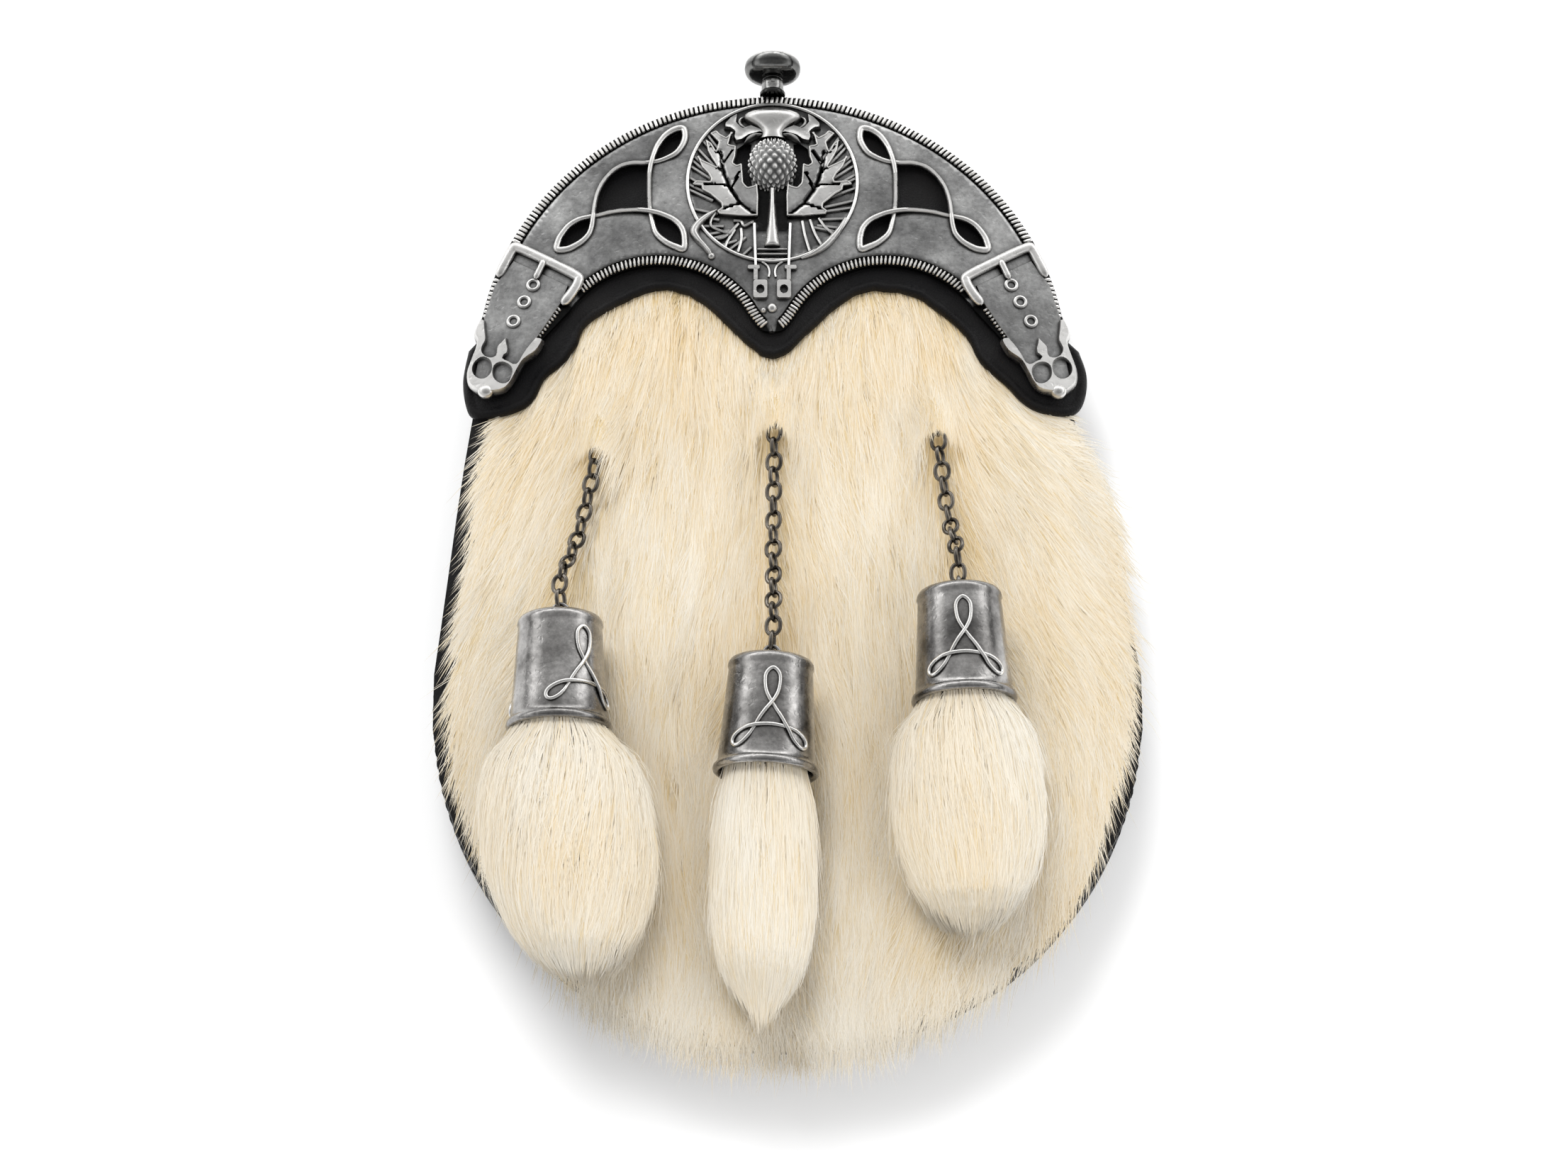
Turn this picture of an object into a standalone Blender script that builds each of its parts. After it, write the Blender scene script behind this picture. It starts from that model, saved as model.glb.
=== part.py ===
"""A dress sporran pouch lying on its back: fur front, cast cantle and three chain tassels.

Sizes are in millimetres; every object is scaled to metres as it is made.
X runs across the pouch, +Y runs up to the cantle and +Z is the front.
The rear rim of the gusset lies on z = 0.
"""

import math
from functools import lru_cache

import bmesh
import bpy
from mathutils import Vector
from mathutils.geometry import delaunay_2d_cdt

MM = 0.001
SHARP_ANGLE = 35  # degrees between faces that meet in a sharp edge

# Outline of the pouch, seen from the front
ARC_Y = 46.0  # centre height of the top arc
ARC_R = 74.2  # radius of the pouch along the top arc
WIDE_HALF = 88.2  # half width at the widest place
WIDE_Y = -40.0
LEAN = 3.9  # how far the lower body lies to the right of the cantle's middle
MIDDLE_X = 4.0  # from the cantle's middle to the middle of the whole, where the origin is
FOOT_Y = -127.5
FOOT_POWER = 2.1  # roundness of the foot, 2 is an ellipse
SIDE_POWER = 1.15  # how soon the sides spread below the arc
OUTLINE_POINTS = 48

# Front surface of the empty pouch
EDGE_TOP_Z = 18.0  # depth of the gusset at the top
EDGE_FOOT_Z = 26.0  # depth of the gusset at the foot
DOME = 9.0  # rise of the front from its edge to its middle
DOME_POWER = 2.5
DOME_Y = -25.0  # height at which the dome has its summit

# Layers
MERGE = 0.02  # points closer than this are one
SLIT = 0.3  # gap between touching pieces
SHEET_SLIT = 0.5  # gap between the domed sheets
LEATHER = 2.0
BOARD = 1.8  # front wall
HIDE = 1.2  # skin of the fur
CANTLE_PLATE = 2.0
PILE = 6.6  # hair above the hide
PILE_LEAST = 0.8
PILE_AT_EDGE = 0.45  # share of the pile that is left at the outline
PILE_EDGE_RUN = 16.0  # percent of the way in over which it grows to the full pile
APRON_CLEAR = 0.8  # from the apron's edge to the hair
APRON_RUN = 9.0  # distance over which the hair rises beside the apron
LOCK_LENGTH = 25.0
LOCK_WIDTH = 15.0
LOCK_RISE = 1.3
BED_DEPTH = 3.4  # how far a tassel presses the hair down
BED_HALF = 15.0
FRINGE = 2.6  # how far the hair stands past the gusset at the foot
FRINGE_SIDE = 0.12  # share of it that is left at the sides
FRINGE_SWELL = 4.0  # how far the hair also stands out at the upper right
SWELL_Y = 5.0
SWELL_HALF = 20.0
FRINGE_TOP_Y = 24.0  # it stands past the gusset below this height
FRINGE_RUN_Y = 20.0
FRINGE_TEETH = 24  # locks round the outline
FRINGE_DROP = 5.5  # how far it hangs over the gusset
SEAT_Y = -86.0  # below this the hair bends down over the gusset's rim
DROP_TOP_Y = -84.0
DROP_RUN_Y = 24.0

# Back
RECESS = 7.5  # from the floor to the back panel
MOUTH_HALF = 36.0
MOUTH_LOW_Y = 58.0
MOUTH_HIGH_Y = 92.0
FLAP_HALF = 46.0
FLAP_TOP_Y = 104.0
FLAP_LOW_Y = 28.0
STUD_RADIUS = 6.0
STUD_Y = 42.0
LOOP_X = 62.0
LOOP_WIDTH = 20.0
LOOP_LOW_Y = -36.0
LOOP_HIGH_Y = 14.0
LOOP_FOOT = 8.0  # length of each sewn end of a loop
LOOP_LEATHER = 1.8

# Cantle: a circle outside, two arches below
CANTLE_R = 75.0
ARCH_X = 29.0
ARCH_Y = 43.7
ARCH_R = 28.2
CUSP_Y = 51.2
RIM_WIDTH = 2.5
RIM_RISE = 1.3
END_RIM_RISE = 1.9  # the rim of the strap ends
END_Y = 49.5
WIRE_HALF = 1.0  # half width of a knot's strand
WIRE_RISE = 1.3
STEP = 0.3  # run of a relief's side
MEDAL_Y = 94.6
MEDAL_X_R = 22.0
MEDAL_Y_R = 23.4
BULB_Y = 99.6
BULB_X_R = 6.2
BULB_Y_R = 7.4
BULB_RISE = 3.2

# Trim
TRIM_ARCH_R = 20.3
TRIM_CUSP_Y = 44.8
TRIM_SIDE = ((53.4, 44.4), (59.5, 38.6), (65.0, 33.4), (70.5, 31.4))  # x, y of its lower edge
TRIM_LOBE = ((76.0, 31.6), (78.6, 35.5), (79.4, 41.5), (78.2, 48.0), (74.6, 53.5))

# Knob
KNOB_Y = 121.4
KNOB_Z = 25.6
KNOB_PROFILE = (  # radius, distance along the knob
    (3.6, 0.0),
    (3.6, 1.0),
    (2.7, 1.5),
    (2.7, 5.0),
    (4.4, 5.6),
    (6.6, 6.6),
    (7.4, 8.4),
    (6.8, 10.2),
    (4.6, 11.3),
    (2.0, 11.7),
)

# Tassels: name, x and y of the chain's top, x and y of the cone's top, x and y of the cone's rim,
# x and y of the hair's end, greatest half width of the hair
TASSELS = (
    ("left", -42.6, 19.5, -51.0, -29.5, -50.8, -57.5, -44.9, -117.2, 20.8),
    ("middle", 0.6, 24.5, 0.0, -41.0, -1.3, -69.2, -2.5, -128.4, 13.2),
    ("right", 40.9, 23.0, 45.3, -23.0, 46.2, -51.5, 47.4, -107.0, 18.6),
)
LINK_HALF_LENGTH = 2.3  # to the wire's centre
LINK_HALF_WIDTH = 1.78
LINK_WIRE = 0.5
LINK_PITCH = 3.9
LINK_POINTS = 6
LINK_ROLL = 4.4  # most degrees that a link is turned from square to its neighbours
WIRE_SIDES = 5
STAPLE_WIRE = 0.5
STAPLE_HALF = 2.5
POCKET_HALF = 3.6
CONE_PROFILE = (  # radius outside, distance down from the cone's shoulder
    (3.0, 0.0),
    (8.6, 0.3),
    (10.2, 1.8),
    (11.5, 26.2),
    (12.5, 27.4),
    (12.5, 28.6),
)
CONE_HOLLOW = ((11.1, 28.6), (9.2, 2.8), (2.0, 1.4))
CONE_SIDES = 14
LOOP_OUT = 1.5  # from the cone's shoulder to the middle of its loop
LOOP_RADIUS = 1.9
LOOP_WIRE = 0.5
LINK_TO_LOOP = 3.05  # from the loop's middle to the last link's middle
KNOT_WIRE = 0.8
KNOT_SINK = 0.16  # how far the wire's middle lies under the cone's surface
KNOT_TURNS = (0.62, 0.07, 0.015)  # how far each cone's knot is turned from the front
CONE_KNOT = (  # across the cone and down it, a closed wire
    (0.0, 5.0),
    (1.7, 8.0),
    (1.3, 11.2),
    (-0.5, 14.2),
    (-2.5, 17.2),
    (-5.4, 22.0),
    (-7.8, 24.1),
    (-9.5, 23.1),
    (-8.0, 20.7),
    (-4.4, 19.5),
    (0.2, 19.1),
    (4.8, 19.5),
    (8.3, 20.9),
    (9.6, 23.4),
    (7.8, 24.3),
    (5.2, 22.1),
    (2.4, 17.4),
    (-1.5, 10.9),
    (-1.6, 7.8),
)
CONE_FLOAT = 0.8  # clearance over the fur
HAIR_FLOAT = 1.0
HAIR_SIDES = 14
HAIR_NECK = 10.6  # radius where the hair leaves the cone
HAIR_PLUG = ((8.4, 4.5), (9.8, 26.0))  # radius, distance from the cone's shoulder
HAIR_FLATNESS = 0.35  # how much of its spread a tassel also has in depth
HAIR_SAG = 12.0  # how far its end sinks below the cone's rim
HAIR_RIDGE = 0.035  # height of a lock's ridge, share of the radius
HAIR_TIP = 2.4  # how far the ridges' tips reach past the grooves
HAIR_SHAPE = (  # share of the way to the end, share of the spread, taper
    (0.01, 0.0, 1.0),
    (0.06, 0.32, 1.0),
    (0.16, 0.74, 1.0),
    (0.32, 1.0, 0.98),
    (0.52, 1.0, 1.0),
    (0.68, 1.0, 0.94),
    (0.82, 1.0, 0.78),
    (0.93, 1.0, 0.52),
    (1.0, 1.0, 0.2),
)

# Colours: red, green, blue, roughness, metallic
FINISHES = {
    "black_leather": (0.012, 0.012, 0.013, 0.42, 0.0),
    "fur": (0.84, 0.74, 0.56, 0.8, 0.0),
    "pewter": (0.34, 0.34, 0.34, 0.36, 1.0),
    "gunmetal": (0.09, 0.085, 0.08, 0.3, 1.0),
}


# ---------------------------------------------------------------- objects and small helpers


def clear_scene():
    for item in list(bpy.data.objects):
        bpy.data.objects.remove(item, do_unlink=True)


def finish_material(name):
    material = bpy.data.materials.get(name) or bpy.data.materials.new(name)
    red, green, blue, roughness, metallic = FINISHES[name]
    material.use_nodes = True
    shader = material.node_tree.nodes["Principled BSDF"]
    shader.inputs["Base Color"].default_value = (red, green, blue, 1.0)
    shader.inputs["Roughness"].default_value = roughness
    shader.inputs["Metallic"].default_value = metallic
    return material


def add_object(name, verts, faces, finish):
    """A closed mesh from points in millimetres from the cantle's middle, its faces turned outwards."""
    mesh = bpy.data.meshes.new(name)
    middle = Vector((MIDDLE_X, 0.0, 0.0))
    mesh.from_pydata([(Vector(v) - middle) * MM for v in verts], [], faces)
    shape = bmesh.new()
    shape.from_mesh(mesh)
    bmesh.ops.remove_doubles(shape, verts=shape.verts, dist=1e-6)
    bmesh.ops.recalc_face_normals(shape, faces=shape.faces)
    if shape.calc_volume(signed=True) < 0:
        bmesh.ops.reverse_faces(shape, faces=shape.faces)
    bmesh.ops.triangulate(shape, faces=shape.faces)
    shape.to_mesh(mesh)
    shape.free()
    mesh.shade_smooth()
    mesh.set_sharp_from_angle(angle=math.radians(SHARP_ANGLE))
    item = bpy.data.objects.new(name, mesh)
    bpy.context.scene.collection.objects.link(item)
    mesh.materials.append(finish_material(finish))
    return item


def add_boolean(target, cutter, operation, use_self=False):
    cutter.hide_render = True
    cutter.display_type = "WIRE"
    modifier = target.modifiers.new(cutter.name, "BOOLEAN")
    modifier.operation = operation
    modifier.solver = "EXACT"
    modifier.use_self = use_self
    modifier.object = cutter


def smooth_step(value):
    value = min(max(value, 0.0), 1.0)
    return value * value * (3.0 - 2.0 * value)


def mirrored(points):
    return [(-x, y) for x, y in reversed(points)]


def even_points(line, count, closed=False):
    """Points at equal steps along a polyline."""
    path = [Vector(p) for p in line]
    if closed:
        path.append(path[0])
    lengths = [0.0]
    for start, end in zip(path, path[1:]):
        lengths.append(lengths[-1] + (end - start).length)
    steps = count if closed else count - 1
    result = []
    segment = 0
    for k in range(count):
        wanted = lengths[-1] * k / steps
        while segment < len(path) - 2 and lengths[segment + 1] < wanted:
            segment += 1
        span = lengths[segment + 1] - lengths[segment]
        share = (wanted - lengths[segment]) / span if span else 0.0
        result.append(tuple(path[segment].lerp(path[segment + 1], share)))
    return result


def smooth_curve(points, steps, closed=False):
    """A Catmull-Rom curve through the points."""
    count = len(points)
    spans = count if closed else count - 1
    result = []
    for k in range(spans):
        if closed:
            near = [Vector(points[(k + d) % count]) for d in (-1, 0, 1, 2)]
        else:
            near = [Vector(points[min(max(k + d, 0), count - 1)]) for d in (-1, 0, 1, 2)]
        before, start, end, after = near
        for step in range(steps):
            t = step / steps
            place = 0.5 * (
                2 * start
                + (end - before) * t
                + (2 * before - 5 * start + 4 * end - after) * t * t
                + (3 * start - before - 3 * end + after) * t ** 3
            )
            result.append(tuple(place))
    if not closed:
        result.append(tuple(points[-1]))
    return result


def offset_line(line, distance, closed):
    """The line moved sideways, to its left for a positive distance."""
    count = len(line)
    result = []
    for k, (x, y) in enumerate(line):
        before = line[k - 1] if closed or k else line[0]
        after = line[(k + 1) % count] if closed or k < count - 1 else line[-1]
        dx, dy = after[0] - before[0], after[1] - before[1]
        size = math.hypot(dx, dy) or 1.0
        result.append((x - dy / size * distance, y + dx / size * distance))
    return result


def inside(point, loop):
    x, y = point
    hit = False
    for (x0, y0), (x1, y1) in zip(loop, loop[1:] + loop[:1]):
        if (y0 > y) != (y1 > y) and x < (x1 - x0) * (y - y0) / (y1 - y0) + x0:
            hit = not hit
    return hit


def line_distance(point, line, closed):
    """Distance from a point to a polyline."""
    best = 1e9
    ends = line[1:] + (line[:1] if closed else [])
    x, y = point
    for (x0, y0), (x1, y1) in zip(line, ends):
        dx, dy = x1 - x0, y1 - y0
        size = dx * dx + dy * dy
        share = min(max(((x - x0) * dx + (y - y0) * dy) / size, 0.0), 1.0) if size else 0.0
        best = min(best, math.hypot(x - x0 - share * dx, y - y0 - share * dy))
    return best


# ---------------------------------------------------------------- outline and front surface


def half_width(y, grow=0.0):
    """Half the width of the pouch at a height, its outline grown outwards."""
    if y >= ARC_Y:
        return math.sqrt(max((ARC_R + grow) ** 2 - (y - ARC_Y) ** 2, 0.0))
    if y >= WIDE_Y:
        share = (y - WIDE_Y) / (ARC_Y - WIDE_Y)
        return WIDE_HALF + grow - (WIDE_HALF - ARC_R) * share ** SIDE_POWER
    share = min((WIDE_Y - y) / (WIDE_Y - FOOT_Y + grow), 1.0)
    return (WIDE_HALF + grow) * (1.0 - share ** FOOT_POWER) ** (1.0 / FOOT_POWER)


def lean(y):
    """How far the pouch's middle lies to the right at a height."""
    return LEAN * smooth_step((ARC_Y - y) / (ARC_Y - WIDE_Y))


def outline(grow=0.0, count=OUTLINE_POINTS):
    """The pouch's outline, anticlockwise from the middle of its top."""
    half = []
    for k in range(40):
        angle = math.pi / 2 * (1.0 - k / 40)
        half.append((math.cos(angle) * (ARC_R + grow), ARC_Y + math.sin(angle) * (ARC_R + grow)))
    for k in range(30):
        y = ARC_Y + (WIDE_Y - ARC_Y) * k / 30
        half.append((half_width(y, grow), y))
    for k in range(61):
        angle = math.pi / 2 * k / 60
        x = (WIDE_HALF + grow) * math.cos(angle) ** (2.0 / FOOT_POWER)
        drop = (WIDE_Y - FOOT_Y + grow) * math.sin(angle) ** (2.0 / FOOT_POWER)
        half.append((x if k < 60 else 0.0, WIDE_Y - drop))
    right = even_points(half, count // 2 + 1)
    left = [(-x, y) for x, y in right[1:-1]]
    loop = left + [right[-1]] + right[:0:-1][1:] + [right[0]]
    return [(x + lean(y), y) for x, y in loop]


def edge_z(y):
    """Depth of the gusset's front edge at a height."""
    share = (ARC_Y + ARC_R - y) / (ARC_Y + ARC_R - FOOT_Y)
    return EDGE_TOP_Z + (EDGE_FOOT_Z - EDGE_TOP_Z) * min(max(share, 0.0), 1.0)


@lru_cache(maxsize=None)
def edge_share(x, y):
    """0 at the dome's summit, 1 on the outline, along the ray from the summit."""
    low, high = 0.0, 4.0
    dx, dy = x, y - DOME_Y
    if math.hypot(dx, dy) < 1e-6:
        return 0.0
    for _ in range(26):
        middle = (low + high) / 2
        there_y = DOME_Y + dy * middle
        beyond = there_y > ARC_Y + ARC_R or there_y < FOOT_Y
        if beyond or abs(dx * middle - lean(there_y)) > half_width(there_y):
            high = middle
        else:
            low = middle
    return 1.0 / max(low, 1e-6)


def front_z(x, y):
    """Inner face of the front wall."""
    share = edge_share(x, y)
    return edge_z(y) + DOME * (1.0 - share ** DOME_POWER)


def layer(rise):
    """A surface that follows the front wall at a height above it."""
    return lambda x, y: front_z(x, y) + rise


BOARD_TOP = BOARD
HIDE_LOW = BOARD_TOP + SHEET_SLIT
HIDE_TOP = HIDE_LOW + HIDE
TRIM_LOW = HIDE_TOP + SHEET_SLIT
TRIM_TOP = TRIM_LOW + LEATHER
CANTLE_LOW = TRIM_TOP + SHEET_SLIT
CANTLE_TOP = CANTLE_LOW + CANTLE_PLATE


# ---------------------------------------------------------------- sheets


def grid_points(loop, holes, pitch, margin):
    """Staggered points inside a loop, clear of its edges."""
    xs = [p[0] for p in loop]
    ys = [p[1] for p in loop]
    result = []
    rows = int((max(ys) - min(ys)) / (pitch * 0.87)) + 1
    for row in range(rows):
        y = min(ys) + row * pitch * 0.87
        shift = pitch / 2 if row % 2 else 0.0
        columns = int((max(xs) - min(xs)) / pitch) + 2
        for column in range(-columns // 2, columns // 2 + 1):
            point = (column * pitch + shift, y)
            if not inside(point, loop) or line_distance(point, loop, True) < margin:
                continue
            if any(inside(point, h) or line_distance(point, h, True) < margin for h in holes):
                continue
            result.append(point)
    return result


def triangulate(loops, lines, points):
    """Triangles inside the first loop and outside the others, through all the lines.

    Gives the places, the faces and the number of each of the loops' own points.
    """
    coords = []
    edges = []
    for loop in loops:
        first = len(coords)
        coords += loop
        edges += [(first + k, first + (k + 1) % len(loop)) for k in range(len(loop))]
    border = len(coords)
    for line, closed in lines:
        first = len(coords)
        coords += line
        last = len(line) if closed else len(line) - 1
        edges += [(first + k, first + (k + 1) % len(line)) for k in range(last)]
    coords += points
    found = delaunay_2d_cdt([Vector(c) for c in coords], edges, [], 0, MERGE)
    places = [tuple(v) for v in found[0]]
    number = {}
    for k, sources in enumerate(found[3]):
        for source in sources:
            if source < border:
                number[source] = k
    faces = []
    for face in found[2]:
        middle = (sum(places[k][0] for k in face) / 3, sum(places[k][1] for k in face) / 3)
        if inside(middle, loops[0]) and not any(inside(middle, hole) for hole in loops[1:]):
            faces.append(tuple(face))
    return places, faces, [number[k] for k in range(border)]


def border_loops(faces):
    """The loops of points round a set of faces, the longest first."""
    steps = {(a, b) for face in faces for a, b in zip(face, face[1:] + face[:1])}
    following = {a: b for a, b in steps if (b, a) not in steps}
    loops = []
    while following:
        start, here = following.popitem()
        loop = [start]
        while here != start:
            loop.append(here)
            here = following.pop(here)
        loops.append(loop)
    return sorted(loops, key=len, reverse=True)


def sheet(name, loops, upper, lower, finish, top=((), ()), bottom=((), ())):
    """A closed sheet between two surfaces; top and bottom each hold lines and points."""
    places, faces, _ = triangulate(loops, *top)
    rims = border_loops(faces)
    edges = [[places[k] for k in rim] for rim in rims]
    edges.sort(key=lambda loop: -abs(signed_area(loop)))
    rims.sort(key=lambda rim: -abs(signed_area([places[k] for k in rim])))
    low_places, low_faces, low_border = triangulate(edges, *bottom)
    verts = [(x, y, upper(x, y)) for x, y in places]
    shift = len(verts)
    verts += [(x, y, lower(x, y)) for x, y in low_places]
    faces = list(faces) + [tuple(shift + k for k in reversed(face)) for face in low_faces]
    first = 0
    for rim in rims:
        count = len(rim)
        for k in range(count):
            following = (k + 1) % count
            below, below_next = shift + low_border[first + k], shift + low_border[first + following]
            faces.append((rim[following], rim[k], below, below_next))
        first += count
    used = sorted({k for face in faces for k in face})
    renumber = {k: n for n, k in enumerate(used)}
    verts = [verts[k] for k in used]
    faces = [tuple(renumber[k] for k in face) for face in faces]
    return add_object(name, verts, faces, finish)


def make_front_wall():
    edge = outline(-0.2)
    points = grid_points(edge, [], 22.0, 6.0)
    lines = [(outline(-7.0, 36), True)]
    sides = (lines, [p for p in points if line_distance(p, lines[0][0], True) > 5.0])
    return sheet("front_wall", [edge], layer(BOARD_TOP), layer(0.0), "black_leather", sides, sides)


@lru_cache(maxsize=None)
def trim_edge():
    """Lower edge of the leather apron, right half, from the cusp to the outer side."""
    arch = []
    for k in range(9):
        angle = math.radians(151 - 15.5 * k)
        place = ARCH_X + TRIM_ARCH_R * math.cos(angle), ARCH_Y + TRIM_ARCH_R * math.sin(angle)
        arch.append(place)
    cusp = [(0.0, TRIM_CUSP_Y), (3.2, 46.0)]
    return even_points(smooth_curve(cusp + arch + list(TRIM_SIDE), 5), 22)


def trim_line_y(x):
    """Height of the apron's lower edge at a place across."""
    line = trim_edge()
    x = abs(x)
    for (x0, y0), (x1, y1) in zip(line, line[1:]):
        if x0 <= x <= x1:
            return y0 + (y1 - y0) * (x - x0) / max(x1 - x0, 1e-9)
    return line[-1][1]


def fur_pile(x, y):
    """Height of the hair above the hide."""
    below = trim_line_y(x) - APRON_CLEAR - y
    if below <= 0.0:
        return 0.0
    side = (1.0 - min(edge_share(x, y), 1.0)) * 100.0
    edge_part = PILE_AT_EDGE + (1.0 - PILE_AT_EDGE) * smooth_step(side / PILE_EDGE_RUN)
    full = PILE * smooth_step(below / APRON_RUN) * edge_part
    for row in TASSELS:
        bed = [row[3:5], row[7:9]]
        near = line_distance((x, y), bed, False)
        full -= BED_DEPTH * math.exp(-((near / BED_HALF) ** 2)) * min(full / PILE, 1.0)
    return max(full, PILE_LEAST)


def lock_wave(x, y):
    """Relief of the locks: each rises towards its lower tip, and neighbours are staggered."""
    column = round(x / LOCK_WIDTH)
    across = (x / LOCK_WIDTH - column) * 2.0
    along = (-y / LOCK_LENGTH + 0.37 * column) % 1.0
    return LOCK_RISE * (along * (1.0 - across * across) - 0.5 * abs(across))


def fur_top(x, y):
    pile = fur_pile(x, y)
    return front_z(x, y) + HIDE_TOP + pile + lock_wave(x, y) * min(pile / PILE, 1.0)


def fur_ceiling(x, y):
    """A height that no lock passes."""
    return front_z(x, y) + HIDE_TOP + fur_pile(x, y) + LOCK_RISE


def fur_drop(x, y):
    """How far the hair hangs down outside the outline."""
    past = (edge_share(x, y) - 1.0) * 100.0 - 0.9
    return FRINGE_DROP * smooth_step(past / FRINGE) * smooth_step((DROP_TOP_Y - y) / DROP_RUN_Y)


def fur_edge():
    """Outline of the hide, with the tips of its locks standing out below the apron."""
    result = []
    for k, (x, y) in enumerate(outline(0.0, 4 * FRINGE_TEETH)):
        tooth = 1.0 - abs((k % 4) - 2) / 2.0
        size = math.hypot(x, y - DOME_Y)
        downward = (DOME_Y - y) / size
        share = FRINGE_SIDE + (1.0 - FRINGE_SIDE) * smooth_step((downward - 0.3) / 0.5)
        swell = FRINGE_SWELL * math.exp(-(((y - SWELL_Y) / SWELL_HALF) ** 2)) if x > 0.0 else 0.0
        grow = (FRINGE * share + swell) * (0.45 + 0.75 * tooth)
        grow *= smooth_step((FRINGE_TOP_Y - y) / FRINGE_RUN_Y)
        if y > FRINGE_TOP_Y:
            grow = -0.4
        result.append((x + x / size * grow, y + (y - DOME_Y) / size * grow))
    return result


def lock_points(edge):
    """Crests, roots and valleys of the locks."""
    result = []
    columns = int(WIDE_HALF / LOCK_WIDTH) + 1
    for column in range(-columns, columns + 1):
        for row in range(-6, 9):
            tip_y = -(row + 1.0 - 0.37 * column) * LOCK_LENGTH
            middle = column * LOCK_WIDTH
            for x, y in (
                (middle, tip_y + 0.5),
                (middle, tip_y - 2.0),
                (middle + LOCK_WIDTH / 2, tip_y + LOCK_LENGTH * 0.2),
                (middle + LOCK_WIDTH / 2, tip_y + LOCK_LENGTH * 0.7),
            ):
                if y < trim_line_y(x) - 3.0 and inside((x, y), edge):
                    if line_distance((x, y), edge, True) > 5.0:
                        result.append((x, y))
    return result


def make_fur_coat():
    edge = fur_edge()
    foot_rim = [p for p in outline(-3.0, 64) if p[1] < 20.0]
    apron = [(x, y - APRON_CLEAR) for x, y in mirrored(trim_edge()) + trim_edge()[1:]]
    hidden = [p for p in grid_points(edge, [], 17.0, 5.0) if p[1] > trim_line_y(p[0]) + 4.0]
    locks = [p for p in lock_points(edge) if line_distance(p, foot_rim, False) > 3.0]
    top = ([(apron, False), (foot_rim, False)], hidden + locks)
    seat = outline(0.5, 48)
    low_points = [p for p in grid_points(edge, [], 19.0, 4.0) if line_distance(p, seat, True) > 6.0]
    seat_low = [p for p in seat if p[1] < SEAT_Y]
    inner_seat = outline(-7.0, 36)
    low_points = [p for p in low_points if line_distance(p, inner_seat, True) > 5.0]
    bottom = ([(seat_low, False), (inner_seat, True)], low_points)

    def upper(x, y):
        return max(fur_top(x, y) - fur_drop(x, y), lower(x, y) + 0.9)

    def lower(x, y):
        return front_z(x, y) + HIDE_LOW - fur_drop(x, y)

    coat = sheet("fur_coat", [edge], upper, lower, "fur", top, bottom)
    for tassel in TASSELS:
        name, x, y = tassel[:3]
        height = fur_ceiling(x, y) + 10.0
        cut_pocket(coat, f"pocket_{name}", x, y + 1.0, front_z(x, y) - 20.0, height)
    return coat


def cut_pocket(target, name, x, y, low, high):
    """A parting in the hair, down to the front wall, where a staple stands."""
    half_x, half_y = POCKET_HALF, POCKET_HALF * 0.8
    corners = [(x + sx * half_x, y + sy * half_y) for sx, sy in ((-1, -1), (1, -1), (1, 1), (-1, 1))]
    verts = [(cx, cy, low) for cx, cy in corners] + [(cx, cy, high) for cx, cy in corners]
    faces = [(3, 2, 1, 0), (4, 5, 6, 7)]
    faces += [(k, (k + 1) % 4, 4 + (k + 1) % 4, 4 + k) for k in range(4)]
    add_boolean(target, add_object(name, verts, faces, "black_leather"), "DIFFERENCE")


def make_trim():
    low = trim_edge()
    arc = []
    for k in range(14):
        angle = math.radians(7 + 83 * k / 13)
        arc.append((math.cos(angle) * (CANTLE_R - 0.8), ARC_Y + math.sin(angle) * (CANTLE_R - 0.8)))
    half = low + list(TRIM_LOBE) + arc[:-1]
    loop = half + [(0.0, arc[-1][1])] + mirrored(half)[:-1]
    points = grid_points(loop, [], 14.0, 4.0)
    sides = ((), points)
    return sheet("cantle_trim", [loop], layer(TRIM_TOP), layer(TRIM_LOW), "black_leather", sides, sides)


# ---------------------------------------------------------------- gusset and back


def make_gusset():
    """The side wall: a closed ring whose rear rim is drawn in a little."""
    # share of the depth, growth of the outline
    levels = ((0.0, -0.8), (0.45, 0.0), (1.0, -0.4), (1.0, -0.4 - LEATHER), (0.0, -0.8 - LEATHER))
    heights = [edge_z(y) - SLIT for _, y in outline()]
    rings = []
    for share, grow in levels:
        rings.append([(x, y, z * share) for (x, y), z in zip(outline(grow), heights)])
    verts = [v for ring in rings for v in ring]
    count = OUTLINE_POINTS
    faces = []
    for row in range(len(rings)):
        here, following = row * count, (row + 1) % len(rings) * count
        for k in range(count):
            side = (k + 1) % count
            faces.append((here + k, here + side, following + side, following + k))
    return add_object("gusset", verts, faces, "black_leather")


def flat_sheet(name, loops, low, high, finish):
    return sheet(name, loops, lambda x, y: high, lambda x, y: low, finish)


def rounded_loop(half, low, high, low_radius, high_radius):
    """A round-cornered loop, wider corners below."""
    corners = (
        (half, low, low_radius, -90),
        (half, high, high_radius, 0),
        (-half, high, high_radius, 90),
        (-half, low, low_radius, 180),
    )
    loop = []
    for x, y, radius, start in corners:
        centre_x = x - math.copysign(radius, x)
        centre_y = y + (radius if y == low else -radius)
        for k in range(6):
            angle = math.radians(start + 90 * k / 5)
            loop.append((centre_x + radius * math.cos(angle), centre_y + radius * math.sin(angle)))
    return loop


def make_back_panel():
    mouth = rounded_loop(MOUTH_HALF, MOUTH_LOW_Y, MOUTH_HIGH_Y, 8.0, 17.0)
    loops = [outline(-LEATHER - 1.1), mouth]
    return flat_sheet("back_panel", loops, RECESS, RECESS + LEATHER, "black_leather")


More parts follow.
